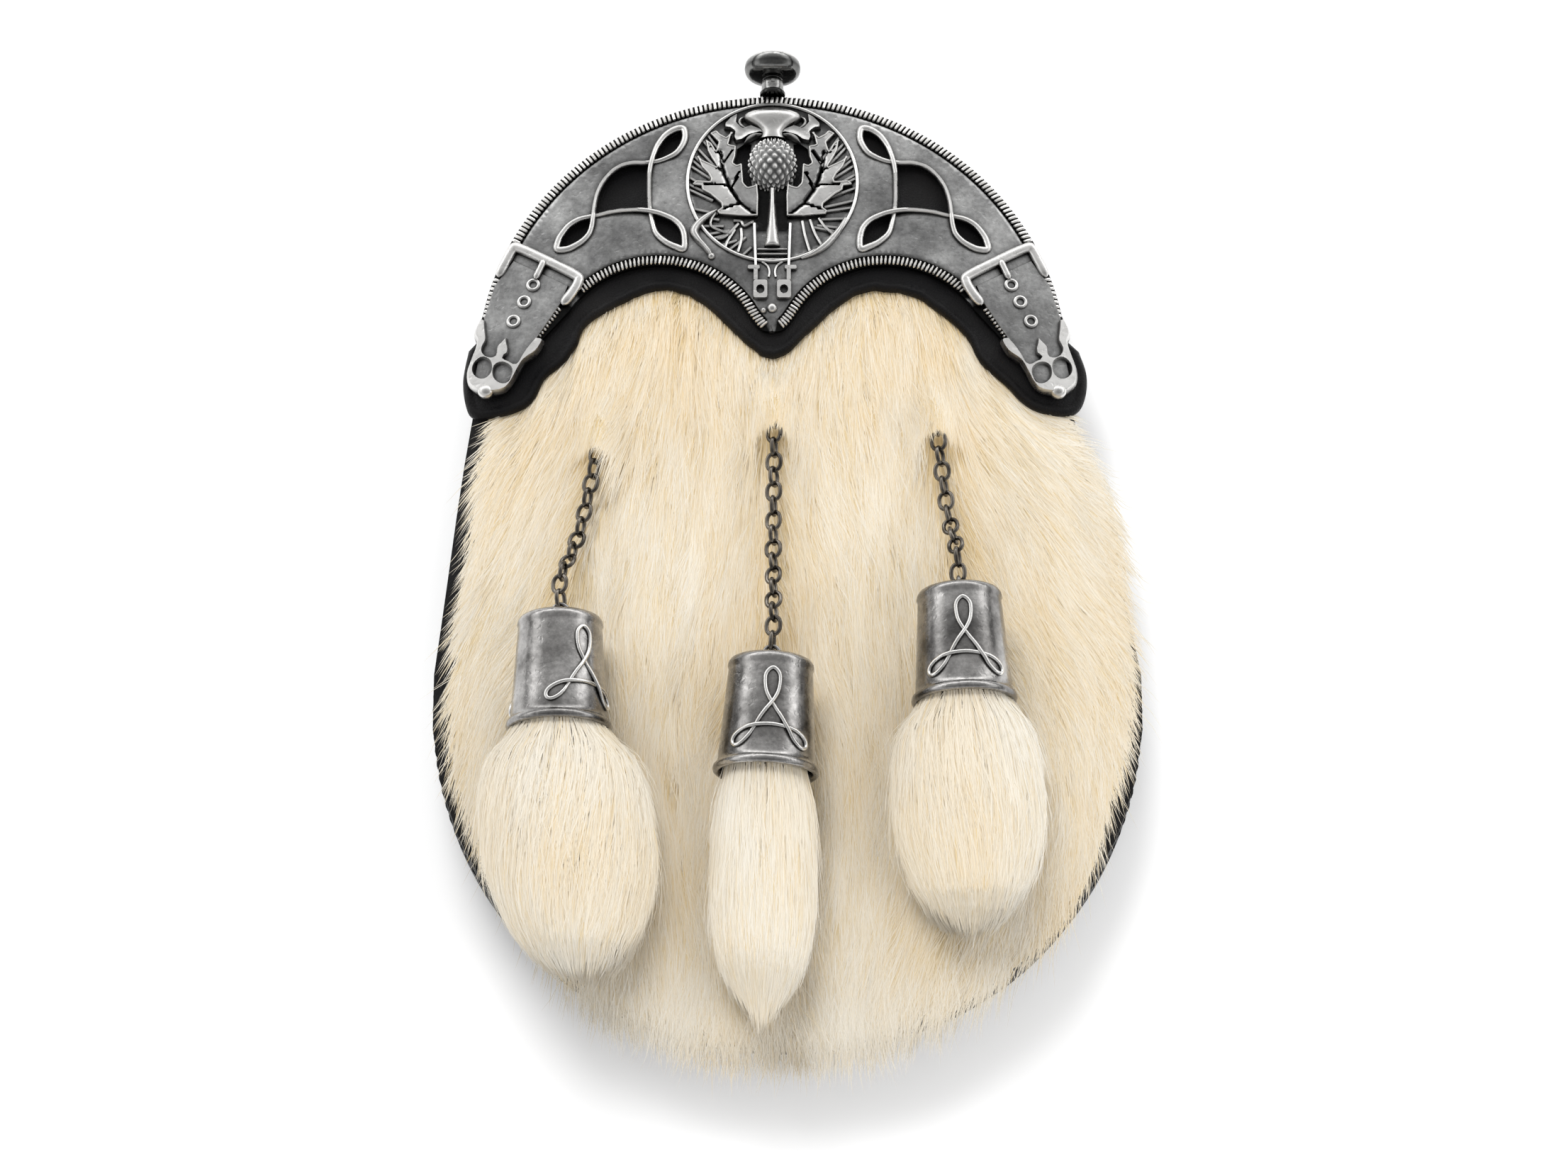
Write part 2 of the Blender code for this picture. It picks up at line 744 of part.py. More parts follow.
def make_back_flap():
    loop = rounded_loop(FLAP_HALF, FLAP_LOW_Y, FLAP_TOP_Y, 30.0, 14.0)
    top = RECESS - SLIT
    return flat_sheet("back_flap", [loop], top - LEATHER, top, "black_leather")


def make_stud():
    top = RECESS - LEATHER - 2 * SLIT
    rings = ((STUD_RADIUS, top), (STUD_RADIUS, top - 0.6), (STUD_RADIUS * 0.7, top - 1.5))
    return turned("flap_stud", rings, Vector((0, STUD_Y, 0)), Vector((0, 0, 1)), 16, "gunmetal")


def make_belt_loop(name, x):
    """A leather strip sewn down at both ends, with room for a strap between it and the back."""
    top = RECESS - SLIT
    side = (
        (LOOP_LOW_Y, top),
        (LOOP_LOW_Y, 1.0),
        (LOOP_LOW_Y + 1.0, 0.0),
        (LOOP_HIGH_Y - 1.0, 0.0),
        (LOOP_HIGH_Y, 1.0),
        (LOOP_HIGH_Y, top),
        (LOOP_HIGH_Y - LOOP_FOOT, top),
        (LOOP_HIGH_Y - LOOP_FOOT, LOOP_LEATHER),
        (LOOP_LOW_Y + LOOP_FOOT, LOOP_LEATHER),
        (LOOP_LOW_Y + LOOP_FOOT, top),
    )
    verts = [(x + dx, y, z) for dx in (-LOOP_WIDTH / 2, LOOP_WIDTH / 2) for y, z in side]
    count = len(side)
    faces = [tuple(range(count)), tuple(reversed(range(count, 2 * count)))]
    faces += [(k, count + k, count + (k + 1) % count, (k + 1) % count) for k in range(count)]
    return add_object(name, verts, faces, "black_leather")


# ---------------------------------------------------------------- turned pieces


def frame_for(axis):
    """Two directions at right angles to an axis."""
    side = axis.cross(Vector((0, 0, 1)))
    if side.length < 1e-6:
        side = Vector((1, 0, 0))
    side.normalize()
    return side, side.cross(axis).normalized()


def turned(name, profile, base, axis, sides, finish):
    """A turned solid: rings of a radius and a distance along the axis."""
    side, front = frame_for(axis)
    verts = []
    for radius, along in profile:
        for k in range(sides):
            angle = 2 * math.pi * k / sides
            out = side * math.cos(angle) + front * math.sin(angle)
            verts.append(base + axis * along + out * radius)
    last = (len(profile) - 1) * sides
    faces = [tuple(range(sides)), tuple(reversed(range(last, last + sides)))]
    for first in range(0, last, sides):
        for k in range(sides):
            other = (k + 1) % sides
            faces.append((first + k, first + other, first + sides + other, first + sides + k))
    return add_object(name, verts, faces, finish)


def make_knob():
    base = Vector((0.0, KNOB_Y, KNOB_Z))
    return turned("finial_knob", KNOB_PROFILE, base, Vector((0, 1, 0)), 12, "gunmetal")


# ---------------------------------------------------------------- cantle


def cantle_half():
    """Right half of the cantle's outline, anticlockwise from its cusp to its top."""
    cusp = [(0.0, CUSP_Y), (2.6, 52.3), (5.2, 57.0)]
    arch = []
    for k in range(9):
        angle = math.radians(142 - 14.2 * k)
        arch.append((ARCH_X + ARCH_R * math.cos(angle), ARCH_Y + ARCH_R * math.sin(angle)))
    end = [(59.6, 51.2), (62.2, 48.2), (65.0, 41.6), (67.0, 37.2), (70.0, 34.6)]
    end += [(73.6, 34.4), (76.6, 37.4), (77.9, 42.0), (77.0, 47.0), (75.4, 52.5)]
    arc = []
    for k in range(15):
        angle = math.radians(9.5 + 80.5 * k / 14)
        arc.append((CANTLE_R * math.cos(angle), ARC_Y + CANTLE_R * math.sin(angle)))
    return cusp + arch + end + arc


def cantle_outline():
    half = cantle_half()
    return half[:-1] + [(0.0, half[-1][1])] + mirrored(half)[1:-1]


def knot_strand():
    """Centre line of the left knot: one closed wire with three pointed loops."""
    points = (
        (-22.6, 110.6),
        (-25.2, 104.2),
        (-31.2, 100.6),
        (-38.4, 100.0),
        (-43.8, 95.6),
        (-46.0, 86.0),
        (-48.6, 78.8),
        (-54.8, 75.8),
        (-51.4, 82.8),
        (-43.9, 86.3),
        (-37.5, 86.8),
        (-30.4, 85.8),
        (-25.0, 81.8),
        (-22.2, 74.6),
        (-28.3, 78.0),
        (-31.3, 86.4),
        (-32.0, 93.5),
        (-31.4, 101.4),
        (-29.6, 107.4),
    )
    return smooth_curve(points, 2, closed=True)


def leaf_hole(root, tip, half):
    """A lens between two points."""
    root, tip = Vector(root), Vector(tip)
    across = Vector((-(tip - root).y, (tip - root).x)).normalized()
    shape = ((0.25, 0.75), (0.55, 1.0), (0.8, 0.62))
    left = [root.lerp(tip, share) + across * half * wide for share, wide in shape]
    right = [root.lerp(tip, share) - across * half * wide for share, wide in reversed(shape)]
    return [tuple(p) for p in [root] + right[::-1] + [tip] + left[::-1]]


def cantle_holes():
    """Pierced work: the knots' loops and middles, and both sides of the thistle's bulb."""
    left = [
        leaf_hole((-30.4, 103.0), (-24.2, 108.9), 1.9),
        leaf_hole((-47.0, 83.6), (-53.0, 77.6), 1.9),
        leaf_hole((-29.8, 84.2), (-23.6, 76.8), 1.9),
        [(-33.6, 98.4), (-38.0, 98.0), (-42.0, 94.6), (-44.2, 88.3), (-37.4, 88.9), (-33.1, 88.3)],
        [
            (-10.6, 106.4), (-7.6, 106.0), (-7.0, 102.2), (-6.9, 97.4), (-5.4, 93.6), (-8.2, 93.6),
            (-9.6, 99.2),
        ],
    ]
    return left + [mirrored(hole) for hole in left]


def ellipse(centre, radius_x, radius_y, count):
    turns = [2 * math.pi * k / count for k in range(count)]
    return [(centre[0] + radius_x * math.cos(a), centre[1] + radius_y * math.sin(a)) for a in turns]


def cantle_ridges():
    """Wires and bars of the relief: line, closed, half width, rise."""
    arm = [(-68.4, 68.8), (-66.4, 74.4), (-64.6, 75.0), (-52.4, 67.4), (-51.7, 65.6), (-54.8, 60.8)]
    left = [
        (knot_strand(), True, WIRE_HALF, WIRE_RISE),
        (arm, False, 1.5, 2.0),
        ([(-59.2, 71.2), (-61.0, 66.6)], False, 0.8, 1.4),
        ([(-69.2, 46.2), (-71.2, 39.4)], False, 0.8, 1.0),
        ([(-4.4, 80.0), (-4.4, 69.0)], False, 0.5, 1.0),
    ]
    for place in ((-61.6, 64.2), (-64.0, 59.4), (-66.3, 54.6)):
        left.append((ellipse(place, 1.5, 1.5, 6), True, 0.6, 1.0))
    result = list(left)
    for line, closed, half, rise in left:
        result.append((mirrored(line), closed, half, rise))
    result.append((ellipse((0.0, MEDAL_Y), MEDAL_X_R, MEDAL_Y_R, 24), True, 0.9, 1.2))
    result.append(([(0.0, 91.0), (0.0, 76.0)], False, 1.3, 1.6))
    result.append(([(-3.4, 72.4), (3.4, 72.4)], False, 0.7, 1.0))
    return result


def cantle_slabs():
    """Raised flat shapes of the relief: outline, rise."""
    leaf = [
        (-2.6, 83.4),
        (-6.0, 84.4),
        (-12.6, 84.9),
        (-13.0, 88.4),
        (-18.6, 92.6),
        (-15.8, 94.6),
        (-19.4, 101.4),
        (-14.4, 99.6),
        (-16.8, 107.6),
        (-11.8, 111.4),
        (-12.0, 103.2),
        (-10.6, 98.0),
        (-9.2, 92.2),
        (-4.0, 92.2),
    ]
    spade = [(-67.2, 51.6), (-69.9, 48.6), (-68.6, 46.8), (-66.4, 48.8)]
    eyelet = [(-5.0, 67.2), (-5.0, 61.6), (-1.2, 61.6), (-1.2, 65.0), (-2.8, 65.4), (-2.8, 67.2)]
    crown = [
        (-7.0, 114.2), (-2.9, 110.4), (-2.9, 108.4), (2.9, 108.4), (2.9, 110.4), (7.0, 114.2), (0.0, 115.6),
    ]
    paired = [(leaf, 1.0), (spade, 0.9), (eyelet, 1.0)]
    return paired + [(mirrored(shape), rise) for shape, rise in paired] + [(crown, 2.2)]


def cantle_domes():
    """Round bosses: centre, radii, rise."""
    return (
        ((0.0, BULB_Y), BULB_X_R, BULB_Y_R, BULB_RISE),
        ((0.0, 57.2), 1.7, 1.7, 1.8),
        ((-72.4, 37.0), 1.9, 1.9, 2.4),
        ((72.4, 37.0), 1.9, 1.9, 2.4),
    )


def make_cantle():
    edge = cantle_outline()
    holes = cantle_holes()
    ridges = cantle_ridges()
    slabs = cantle_slabs()
    domes = cantle_domes()
    rim_top = offset_line(edge, RIM_WIDTH - STEP, True)
    rim_foot = offset_line(edge, RIM_WIDTH, True)

    def relief(x, y):
        rise = 0.0
        depth = line_distance((x, y), edge, True)
        if depth < RIM_WIDTH:
            high = END_RIM_RISE if y < END_Y else RIM_RISE
            rise = high * min((RIM_WIDTH - depth) / STEP, 1.0)
        for line, closed, half, high in ridges:
            near = line_distance((x, y), line, closed)
            if near < half:
                rise = max(rise, high * math.sqrt(1.0 - (near / half) ** 2))
        for shape, high in slabs:
            if inside((x, y), shape):
                rise = max(rise, high * min(line_distance((x, y), shape, True) / STEP, 1.0))
        for (cx, cy), rx, ry, high in domes:
            share = ((x - cx) / rx) ** 2 + ((y - cy) / ry) ** 2
            if share < 1.0:
                rise = max(rise, high * math.sqrt(1.0 - share))
        return rise

    lines = [(rim_top, True), (rim_foot, True)]
    for line, closed, half, _ in ridges:
        lines.append((line, closed))
        lines.append((offset_line(line, half, closed), closed))
        lines.append((offset_line(line, -half, closed), closed))
    for shape, _ in slabs:
        turn = 1.0 if signed_area(shape) > 0 else -1.0
        lines.append((shape, True))
        lines.append((offset_line(shape, turn * STEP, True), True))
    for centre, rx, ry, _ in domes:
        count = 12 if rx > 3 else 6
        lines.append((ellipse(centre, rx, ry, count), True))
        lines.append((ellipse(centre, rx * 0.86, ry * 0.86, count), True))
        lines.append((ellipse(centre, rx * 0.5, ry * 0.5, count), True))
    points = grid_points(edge, holes, 12.0, 4.0)
    low_points = grid_points(edge, holes, 15.0, 4.0)

    def upper(x, y):
        return front_z(x, y) + CANTLE_TOP + relief(x, y)

    top = (lines, points)
    bottom = ((), low_points)
    return sheet("cantle", [edge] + holes, upper, layer(CANTLE_LOW), "pewter", top, bottom)


def signed_area(loop):
    return sum(x0 * y1 - x1 * y0 for (x0, y0), (x1, y1) in zip(loop, loop[1:] + loop[:1])) / 2


# ---------------------------------------------------------------- chains, cones and tassels


def swept(path, sides, radius, closed, start_side, outward=()):
    """A tube of few sides along a path, with parallel frames or with an edge held outwards."""
    places = [Vector(p) for p in path]
    count = len(places)
    verts = []
    side = start_side
    for k, place in enumerate(places):
        before = places[k - 1] if closed or k else places[0]
        after = places[(k + 1) % count] if closed or k < count - 1 else places[-1]
        along = (after - before).normalized()
        side = outward[k] if outward else side
        side = (side - along * side.dot(along)).normalized()
        front = along.cross(side)
        for j in range(sides):
            angle = 2 * math.pi * j / sides
            verts.append(place + (side * math.cos(angle) + front * math.sin(angle)) * radius)
    faces = []
    for k in range(count if closed else count - 1):
        following = (k + 1) % count
        for j in range(sides):
            other = (j + 1) % sides
            here, there = k * sides, following * sides
            faces.append((here + j, here + other, there + other, there + j))
    if not closed:
        faces.append(tuple(range(sides)))
        faces.append(tuple(reversed(range((count - 1) * sides, count * sides))))
    return verts, faces


def link_mesh(centre, along, across):
    """One oval link in the plane of its two directions."""
    path = []
    reach = LINK_HALF_LENGTH / math.cos(math.pi / LINK_POINTS)
    for k in range(LINK_POINTS):
        angle = 2 * math.pi * (k + 0.5) / LINK_POINTS
        wide = across * LINK_HALF_WIDTH * math.sin(angle)
        path.append(centre + along * reach * math.cos(angle) + wide)
    return swept(path, WIRE_SIDES, LINK_WIRE, True, along.cross(across))


def tassel_frame(row):
    """Places and directions of one tassel: first link, cone's shoulder and cone's axis."""
    _, top_x, top_y, cone_x, cone_y, rim_x, rim_y = row[:7]
    radius = CONE_PROFILE[-1][0]
    cone_top = Vector((cone_x, cone_y, fur_ceiling(cone_x, cone_y) + CONE_FLOAT + radius))
    rim = Vector((rim_x, rim_y, fur_ceiling(rim_x, rim_y) + CONE_FLOAT + radius))
    first_z = fur_ceiling(top_x, top_y) + LINK_HALF_WIDTH + LINK_WIRE + SLIT
    return Vector((top_x, top_y, first_z)), cone_top, (rim - cone_top).normalized()


def chain_route(row):
    """Centres of the links, from the staple to the loop of the cone."""
    first, cone_top, axis = tassel_frame(row)
    last = cone_top - axis * (LOOP_OUT + LINK_TO_LOOP)
    bend = first.lerp(last, 0.55)
    bend.z = fur_ceiling(bend.x, bend.y) + LINK_HALF_WIDTH + LINK_WIRE + 1.0
    before = last - axis * LINK_PITCH * 1.5
    route = smooth_curve([tuple(first), tuple(bend), tuple(before), tuple(last)], 16)
    length = sum((Vector(b) - Vector(a)).length for a, b in zip(route, route[1:]))
    return [Vector(p) for p in even_points(route, round(length / LINK_PITCH) + 1)]


def link_directions(route, k):
    """Direction along the chain, and the two directions across it, at a link."""
    along = (route[min(k + 1, len(route) - 1)] - route[max(k - 1, 0)]).normalized()
    side, front = frame_for(along)
    roll = math.radians(LINK_ROLL) * math.sin(2.4 * k)
    turned_side = side * math.cos(roll) + front * math.sin(roll)
    return along, turned_side, turned_side.cross(along)


def make_chain(row):
    """A cable chain: its links pass through each other and are joined where they touch."""
    route = chain_route(row)
    meshes = ([], []), ([], [])
    for k, centre in enumerate(route):
        along, side, front = link_directions(route, k)
        link_verts, link_faces = link_mesh(centre, along, side if k % 2 else front)
        verts, faces = meshes[k % 2]
        faces += [tuple(len(verts) + j for j in face) for face in link_faces]
        verts += link_verts
    chain = add_object(f"chain_{row[0]}", *meshes[0], "gunmetal")
    add_boolean(chain, add_object(f"odd_links_{row[0]}", *meshes[1], "gunmetal"), "UNION")


def staple_bar(row):
    """Middle of the staple's bar, inside the first link."""
    route = chain_route(row)
    along, _, _ = link_directions(route, 0)
    return route[0] - along * (LINK_HALF_LENGTH - LINK_WIRE - STAPLE_WIRE - 0.2)


def make_staple(row):
    """A wire staple through the hide: its bar passes through the first link."""
    bar = staple_bar(row)
    foot_z = front_z(bar.x, bar.y) + BOARD_TOP + SLIT
    path = [Vector((-STAPLE_HALF, 0, foot_z - bar.z)), Vector((-STAPLE_HALF, 0, -0.8))]
    path += [Vector((-STAPLE_HALF + 0.8, 0, 0)), Vector((STAPLE_HALF - 0.8, 0, 0))]
    path += [Vector((STAPLE_HALF, 0, -0.8)), Vector((STAPLE_HALF, 0, foot_z - bar.z))]
    verts, faces = swept([bar + p for p in path], 6, STAPLE_WIRE, False, Vector((0, 1, 0)))
    return add_object(f"chain_staple_{row[0]}", verts, faces, "gunmetal")


def cone_radius(along):
    """Outer radius of a cone at a distance from its shoulder."""
    for (r0, d0), (r1, d1) in zip(CONE_PROFILE, CONE_PROFILE[1:]):
        if d0 <= along <= d1:
            return r0 + (r1 - r0) * (along - d0) / (d1 - d0)
    return CONE_PROFILE[-1][0]


def cone_knot(cone_top, axis, turn):
    """The wire knot on a cone: three loops round a triangle, laid on the turned face."""
    side, front = frame_for(axis)
    path = []
    outward = []
    for across, down in CONE_KNOT:
        radius = cone_radius(down) - KNOT_SINK
        angle = turn + across / radius
        outward.append(side * math.sin(angle) + front * math.cos(angle))
        path.append(cone_top + axis * down + outward[-1] * radius)
    return swept(path, 3, KNOT_WIRE, True, front, outward)


def make_cone(row, turn):
    _, cone_top, axis = tassel_frame(row)
    profile = CONE_PROFILE + CONE_HOLLOW
    cone = turned(f"cone_{row[0]}", profile, cone_top, axis, CONE_SIDES, "pewter")
    route = chain_route(row)
    last = len(route) - 1
    along, side, front = link_directions(route, last)
    across = front if last % 2 else side
    centre = cone_top - axis * LOOP_OUT
    ring = [
        centre + (axis * math.cos(a) + across * math.sin(a)) * LOOP_RADIUS
        for a in (2 * math.pi * k / 8 for k in range(8))
    ]
    verts, faces = swept(ring, 5, LOOP_WIRE, True, axis.cross(across))
    add_boolean(cone, add_object(f"loop_{row[0]}", verts, faces, "pewter"), "UNION")
    verts, faces = cone_knot(cone_top, axis, turn)
    add_boolean(cone, add_object(f"knot_{row[0]}", verts, faces, "pewter"), "UNION", use_self=True)


def make_tassel(row):
    """Hair in ridged locks on a plug that fills the cone, flattened where it lies on the coat."""
    name, greatest = row[0], row[9]
    _, cone_top, axis = tassel_frame(row)
    end_x, end_y = row[7:9]
    rim = cone_top + axis * CONE_PROFILE[-1][1]
    side, front = frame_for(axis)
    stations = [(cone_top + axis * along, radius, radius, 0.0) for radius, along in HAIR_PLUG]
    for share, spread, taper in HAIR_SHAPE:
        half = (HAIR_NECK + (greatest - HAIR_NECK) * spread) * taper
        x = rim.x + (end_x - rim.x) * share
        y = rim.y + (end_y - rim.y) * share
        deep = min(half, HAIR_NECK + (half - HAIR_NECK) * HAIR_FLATNESS)
        z = max(fur_ceiling(x, y) + HAIR_FLOAT + deep * 0.94, rim.z - HAIR_SAG * share)
        stations.append((Vector((x, y, z)), half, deep, share))
    verts = []
    for place, half, deep, share in stations:
        for k in range(HAIR_SIDES):
            angle = 2 * math.pi * k / HAIR_SIDES
            ridge = 1.0 + (HAIR_RIDGE if k % 2 else -HAIR_RIDGE) * min(share * 6.0, 1.0)
            point = place + side * (half * ridge * math.cos(angle))
            point += front * (deep * ridge * math.sin(angle))
            point.y += (HAIR_TIP if k % 2 else -HAIR_TIP) * share * share
            if share > 0.0:
                point.z = max(point.z, fur_ceiling(point.x, point.y) + HAIR_FLOAT)
            verts.append(point)
    faces = [tuple(range(HAIR_SIDES))]
    for row_number in range(len(stations) - 1):
        first, following = row_number * HAIR_SIDES, (row_number + 1) * HAIR_SIDES
        for k in range(HAIR_SIDES):
            other = (k + 1) % HAIR_SIDES
            faces.append((first + k, first + other, following + other, following + k))
    faces.append(tuple(range((len(stations) - 1) * HAIR_SIDES, len(stations) * HAIR_SIDES)))
    return add_object(f"tassel_{name}", verts, faces, "fur")


def build():
    clear_scene()
    make_gusset()
    make_back_panel()
    make_back_flap()
    make_stud()
    make_belt_loop("belt_loop_left", -LOOP_X)
    make_belt_loop("belt_loop_right", LOOP_X)
    make_front_wall()
    make_fur_coat()
    make_trim()
    make_cantle()
    make_knob()
    for row, turn in zip(TASSELS, KNOT_TURNS):
        make_staple(row)
        make_chain(row)
        make_cone(row, turn)
        make_tassel(row)


build()
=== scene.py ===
import math
from collections import namedtuple

import bpy
import numpy as np
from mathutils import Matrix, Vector
from mathutils.geometry import delaunay_2d_cdt


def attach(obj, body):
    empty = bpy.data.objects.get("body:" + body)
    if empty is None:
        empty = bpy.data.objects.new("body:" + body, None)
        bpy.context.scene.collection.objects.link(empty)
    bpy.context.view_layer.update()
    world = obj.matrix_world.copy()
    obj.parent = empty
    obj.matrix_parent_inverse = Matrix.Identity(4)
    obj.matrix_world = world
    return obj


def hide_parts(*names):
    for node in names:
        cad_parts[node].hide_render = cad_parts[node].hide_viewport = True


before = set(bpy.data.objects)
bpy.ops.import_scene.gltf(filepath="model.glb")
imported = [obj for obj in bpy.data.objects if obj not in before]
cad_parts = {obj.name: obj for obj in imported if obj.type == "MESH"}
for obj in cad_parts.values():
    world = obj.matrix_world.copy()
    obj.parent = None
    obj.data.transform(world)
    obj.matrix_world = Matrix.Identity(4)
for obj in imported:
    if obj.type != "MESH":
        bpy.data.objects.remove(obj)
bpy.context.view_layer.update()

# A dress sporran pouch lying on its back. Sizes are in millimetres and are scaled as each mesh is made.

rng = np.random.default_rng(11)

MM = 0.001
MIDDLE_X = 4.0  # the origin lies this far to the right of the cantle's middle, where x is 0 below
UP = np.array((0.0, 0.0, 1.0))

# Outline, front surface and layers on it, as in the solids
ARC_Y, ARC_R = 46.0, 74.2
WIDE_HALF, WIDE_Y, LEAN = 88.2, -40.0, 3.9
FOOT_Y, FOOT_POWER, SIDE_POWER = -127.5, 2.1, 1.15
EDGE_TOP_Z, EDGE_FOOT_Z = 18.0, 26.0
DOME, DOME_POWER, DOME_Y = 9.0, 2.5, -25.0
SLIT = 0.3
LEATHER = 2.0
HIDE_TOP, TRIM_LOW, TRIM_TOP, CANTLE_LOW, CANTLE_TOP = 3.5, 4.0, 6.0, 6.5, 8.5
PILE, LOCK_RISE = 6.6, 1.3  # height of the coat, and of its locks above it
BED_DEPTH, BED_HALF = 3.4, 15.0  # the bed that each tassel presses into the coat
RECESS = 7.5  # height of the back above the floor
STITCH_PITCH = 3.6
TRIM_R = 74.4

# Tassels: places of the chain's top, the cone's top, the cone's rim and the hair's end, half width of the
# hair, angle of the cone's knot in radians, sideways lean of the hair in degrees, share of the way to the end
# where the first hairs stop, fullness, and how much fuller the hair is at 0.93 and at all of that way
Tassel = namedtuple("Tassel", "top cone rim end half knot_turn lean blunt fluff swell")
TASSELS = {
    "left": Tassel((-42.6, 19.5), (-51.0, -29.5), (-50.8, -57.5), (-44.9, -114.6), 20.0,
                   0.62, -10.0, 0.9, 1.08, (1.12, 1.7)),
    "middle": Tassel((0.6, 24.5), (0.0, -41.0), (-1.3, -69.2), (-2.5, -126.0), 12.6,
                     0.07, 2.0, 0.8, 1.03, (1.0, 1.2)),
    "right": Tassel((40.9, 23.0), (45.3, -23.0), (46.2, -51.5), (47.4, -104.0), 17.6,
                    0.015, 5.0, 0.9, 1.07, (1.12, 1.7)),
}

# Hair
COAT_HAIRS, CHAIN_HAIRS, TASSEL_HAIRS = 104000, 420, 10500
STRAY_ROOTS, EDGE_STRAYS, INNER_STRAYS = 12000, 1500, 2500  # roots tried, hairs taken near the edge, within
DEEP_SHARE = 0.34  # share of the hairs that cast shadows, the deepest ones
FROM_SUMMIT = 95.0  # about the distance from the dome's summit to the outline


# ---------------------------------------------------------------- lines


def curve(points, steps, closed=False):
    """A Catmull-Rom curve through the points."""
    points = np.asarray(points, float)
    count = len(points)
    spans = count if closed else count - 1
    index = np.arange(spans)

    def near(d):
        return points[(index + d) % count] if closed else points[np.clip(index + d, 0, count - 1)]

    before, start, end, after = near(-1), near(0), near(1), near(2)
    t = np.arange(steps)[None, :, None] / steps
    place = 0.5 * (
        2 * start[:, None]
        + (end - before)[:, None] * t
        + (2 * before - 5 * start + 4 * end - after)[:, None] * t ** 2
        + (3 * start - before - 3 * end + after)[:, None] * t ** 3
    )
    place = place.reshape(-1, points.shape[1])
    return place if closed else np.vstack([place, points[-1]])


def resample(line, count=None, pitch=None, closed=False):
    """Points at equal steps along a line."""
    line = np.asarray(line, float)
    if closed:
        line = np.vstack([line, line[:1]])
    lengths = np.concatenate([[0.0], np.cumsum(np.linalg.norm(np.diff(line, axis=0), axis=1))])
    if count is None:
        count = max(int(round(lengths[-1] / pitch)), 2) + (0 if closed else 1)
    wanted = np.linspace(0.0, lengths[-1], count + 1)[:-1] if closed else np.linspace(0.0, lengths[-1], count)
    return np.column_stack([np.interp(wanted, lengths, line[:, k]) for k in range(line.shape[1])])


def mirrored(points):
    """Points on the other side of the middle, in reverse order so that a loop keeps its sense."""
    points = np.asarray(points, float).copy()
    points[:, 0] *= -1
    return points[::-1]


def inside(points, loop):
    """Which points lie inside a loop."""
    points, loop = np.asarray(points, float), np.asarray(loop, float)
    hit = np.zeros(len(points), bool)
    for (x0, y0), (x1, y1) in zip(loop, np.roll(loop, -1, 0)):
        if y0 == y1:
            continue
        crossing = (y0 > points[:, 1]) != (y1 > points[:, 1])
        hit ^= crossing & (points[:, 0] < (x1 - x0) * (points[:, 1] - y0) / (y1 - y0) + x0)
    return hit


def distance(points, line, closed=True):
    """Distance of each point from a line."""
    points, line = np.asarray(points, float), np.asarray(line, float)
    ends = np.roll(line, -1, 0) if closed else line[1:]
    best = np.full(len(points), 1e9)
    for (x0, y0), (x1, y1) in zip(line, ends):
        dx, dy = x1 - x0, y1 - y0
        size = dx * dx + dy * dy
        if size == 0:
            continue
        share = np.clip(((points[:, 0] - x0) * dx + (points[:, 1] - y0) * dy) / size, 0, 1)
        best = np.minimum(best, np.hypot(points[:, 0] - x0 - share * dx, points[:, 1] - y0 - share * dy))
    return best


def offset(line, amount, closed=True):
    """The line moved to its left."""
    line = np.asarray(line, float)
    if closed:
        along = np.roll(line, -1, 0) - np.roll(line, 1, 0)
    else:
        along = np.gradient(line, axis=0)
    along /= np.linalg.norm(along, axis=1)[:, None] + 1e-9
    return line + np.column_stack([-along[:, 1], along[:, 0]]) * amount


def unit(vectors):
    """Vectors of length 1 in the same directions."""
    return vectors / (np.linalg.norm(vectors, axis=-1, keepdims=True) + 1e-12)


def full_turn(count):
    """Angles at equal steps round a circle."""
    return 2 * math.pi * np.arange(count) / count


def arc(x, y, radius, start, end, count):
    """Points on a circle, angles in degrees."""
    angles = np.radians(np.linspace(start, end, count))
    return np.column_stack([x + radius * np.cos(angles), y + radius * np.sin(angles)])


def turning(loop):
    """1 for an anticlockwise loop, -1 for a clockwise one."""
    area = np.sum(loop[:, 0] * np.roll(loop[:, 1], -1) - np.roll(loop[:, 0], -1) * loop[:, 1])
    return 1 if area > 0 else -1


def smooth_step(value):
    """0 below 0 and 1 above 1, with a soft rise between."""
    value = np.clip(value, 0.0, 1.0)
    return value * value * (3.0 - 2.0 * value)


def bell(value, width, power=2):
    """1 where the value is 0, fading to nothing past the width."""
    return np.exp(-((value / width) ** power))


# ---------------------------------------------------------------- outline and front surface


def lean(y):
    """How far the pouch's middle lies to the right at a height."""
    return LEAN * smooth_step((ARC_Y - y) / (ARC_Y - WIDE_Y))


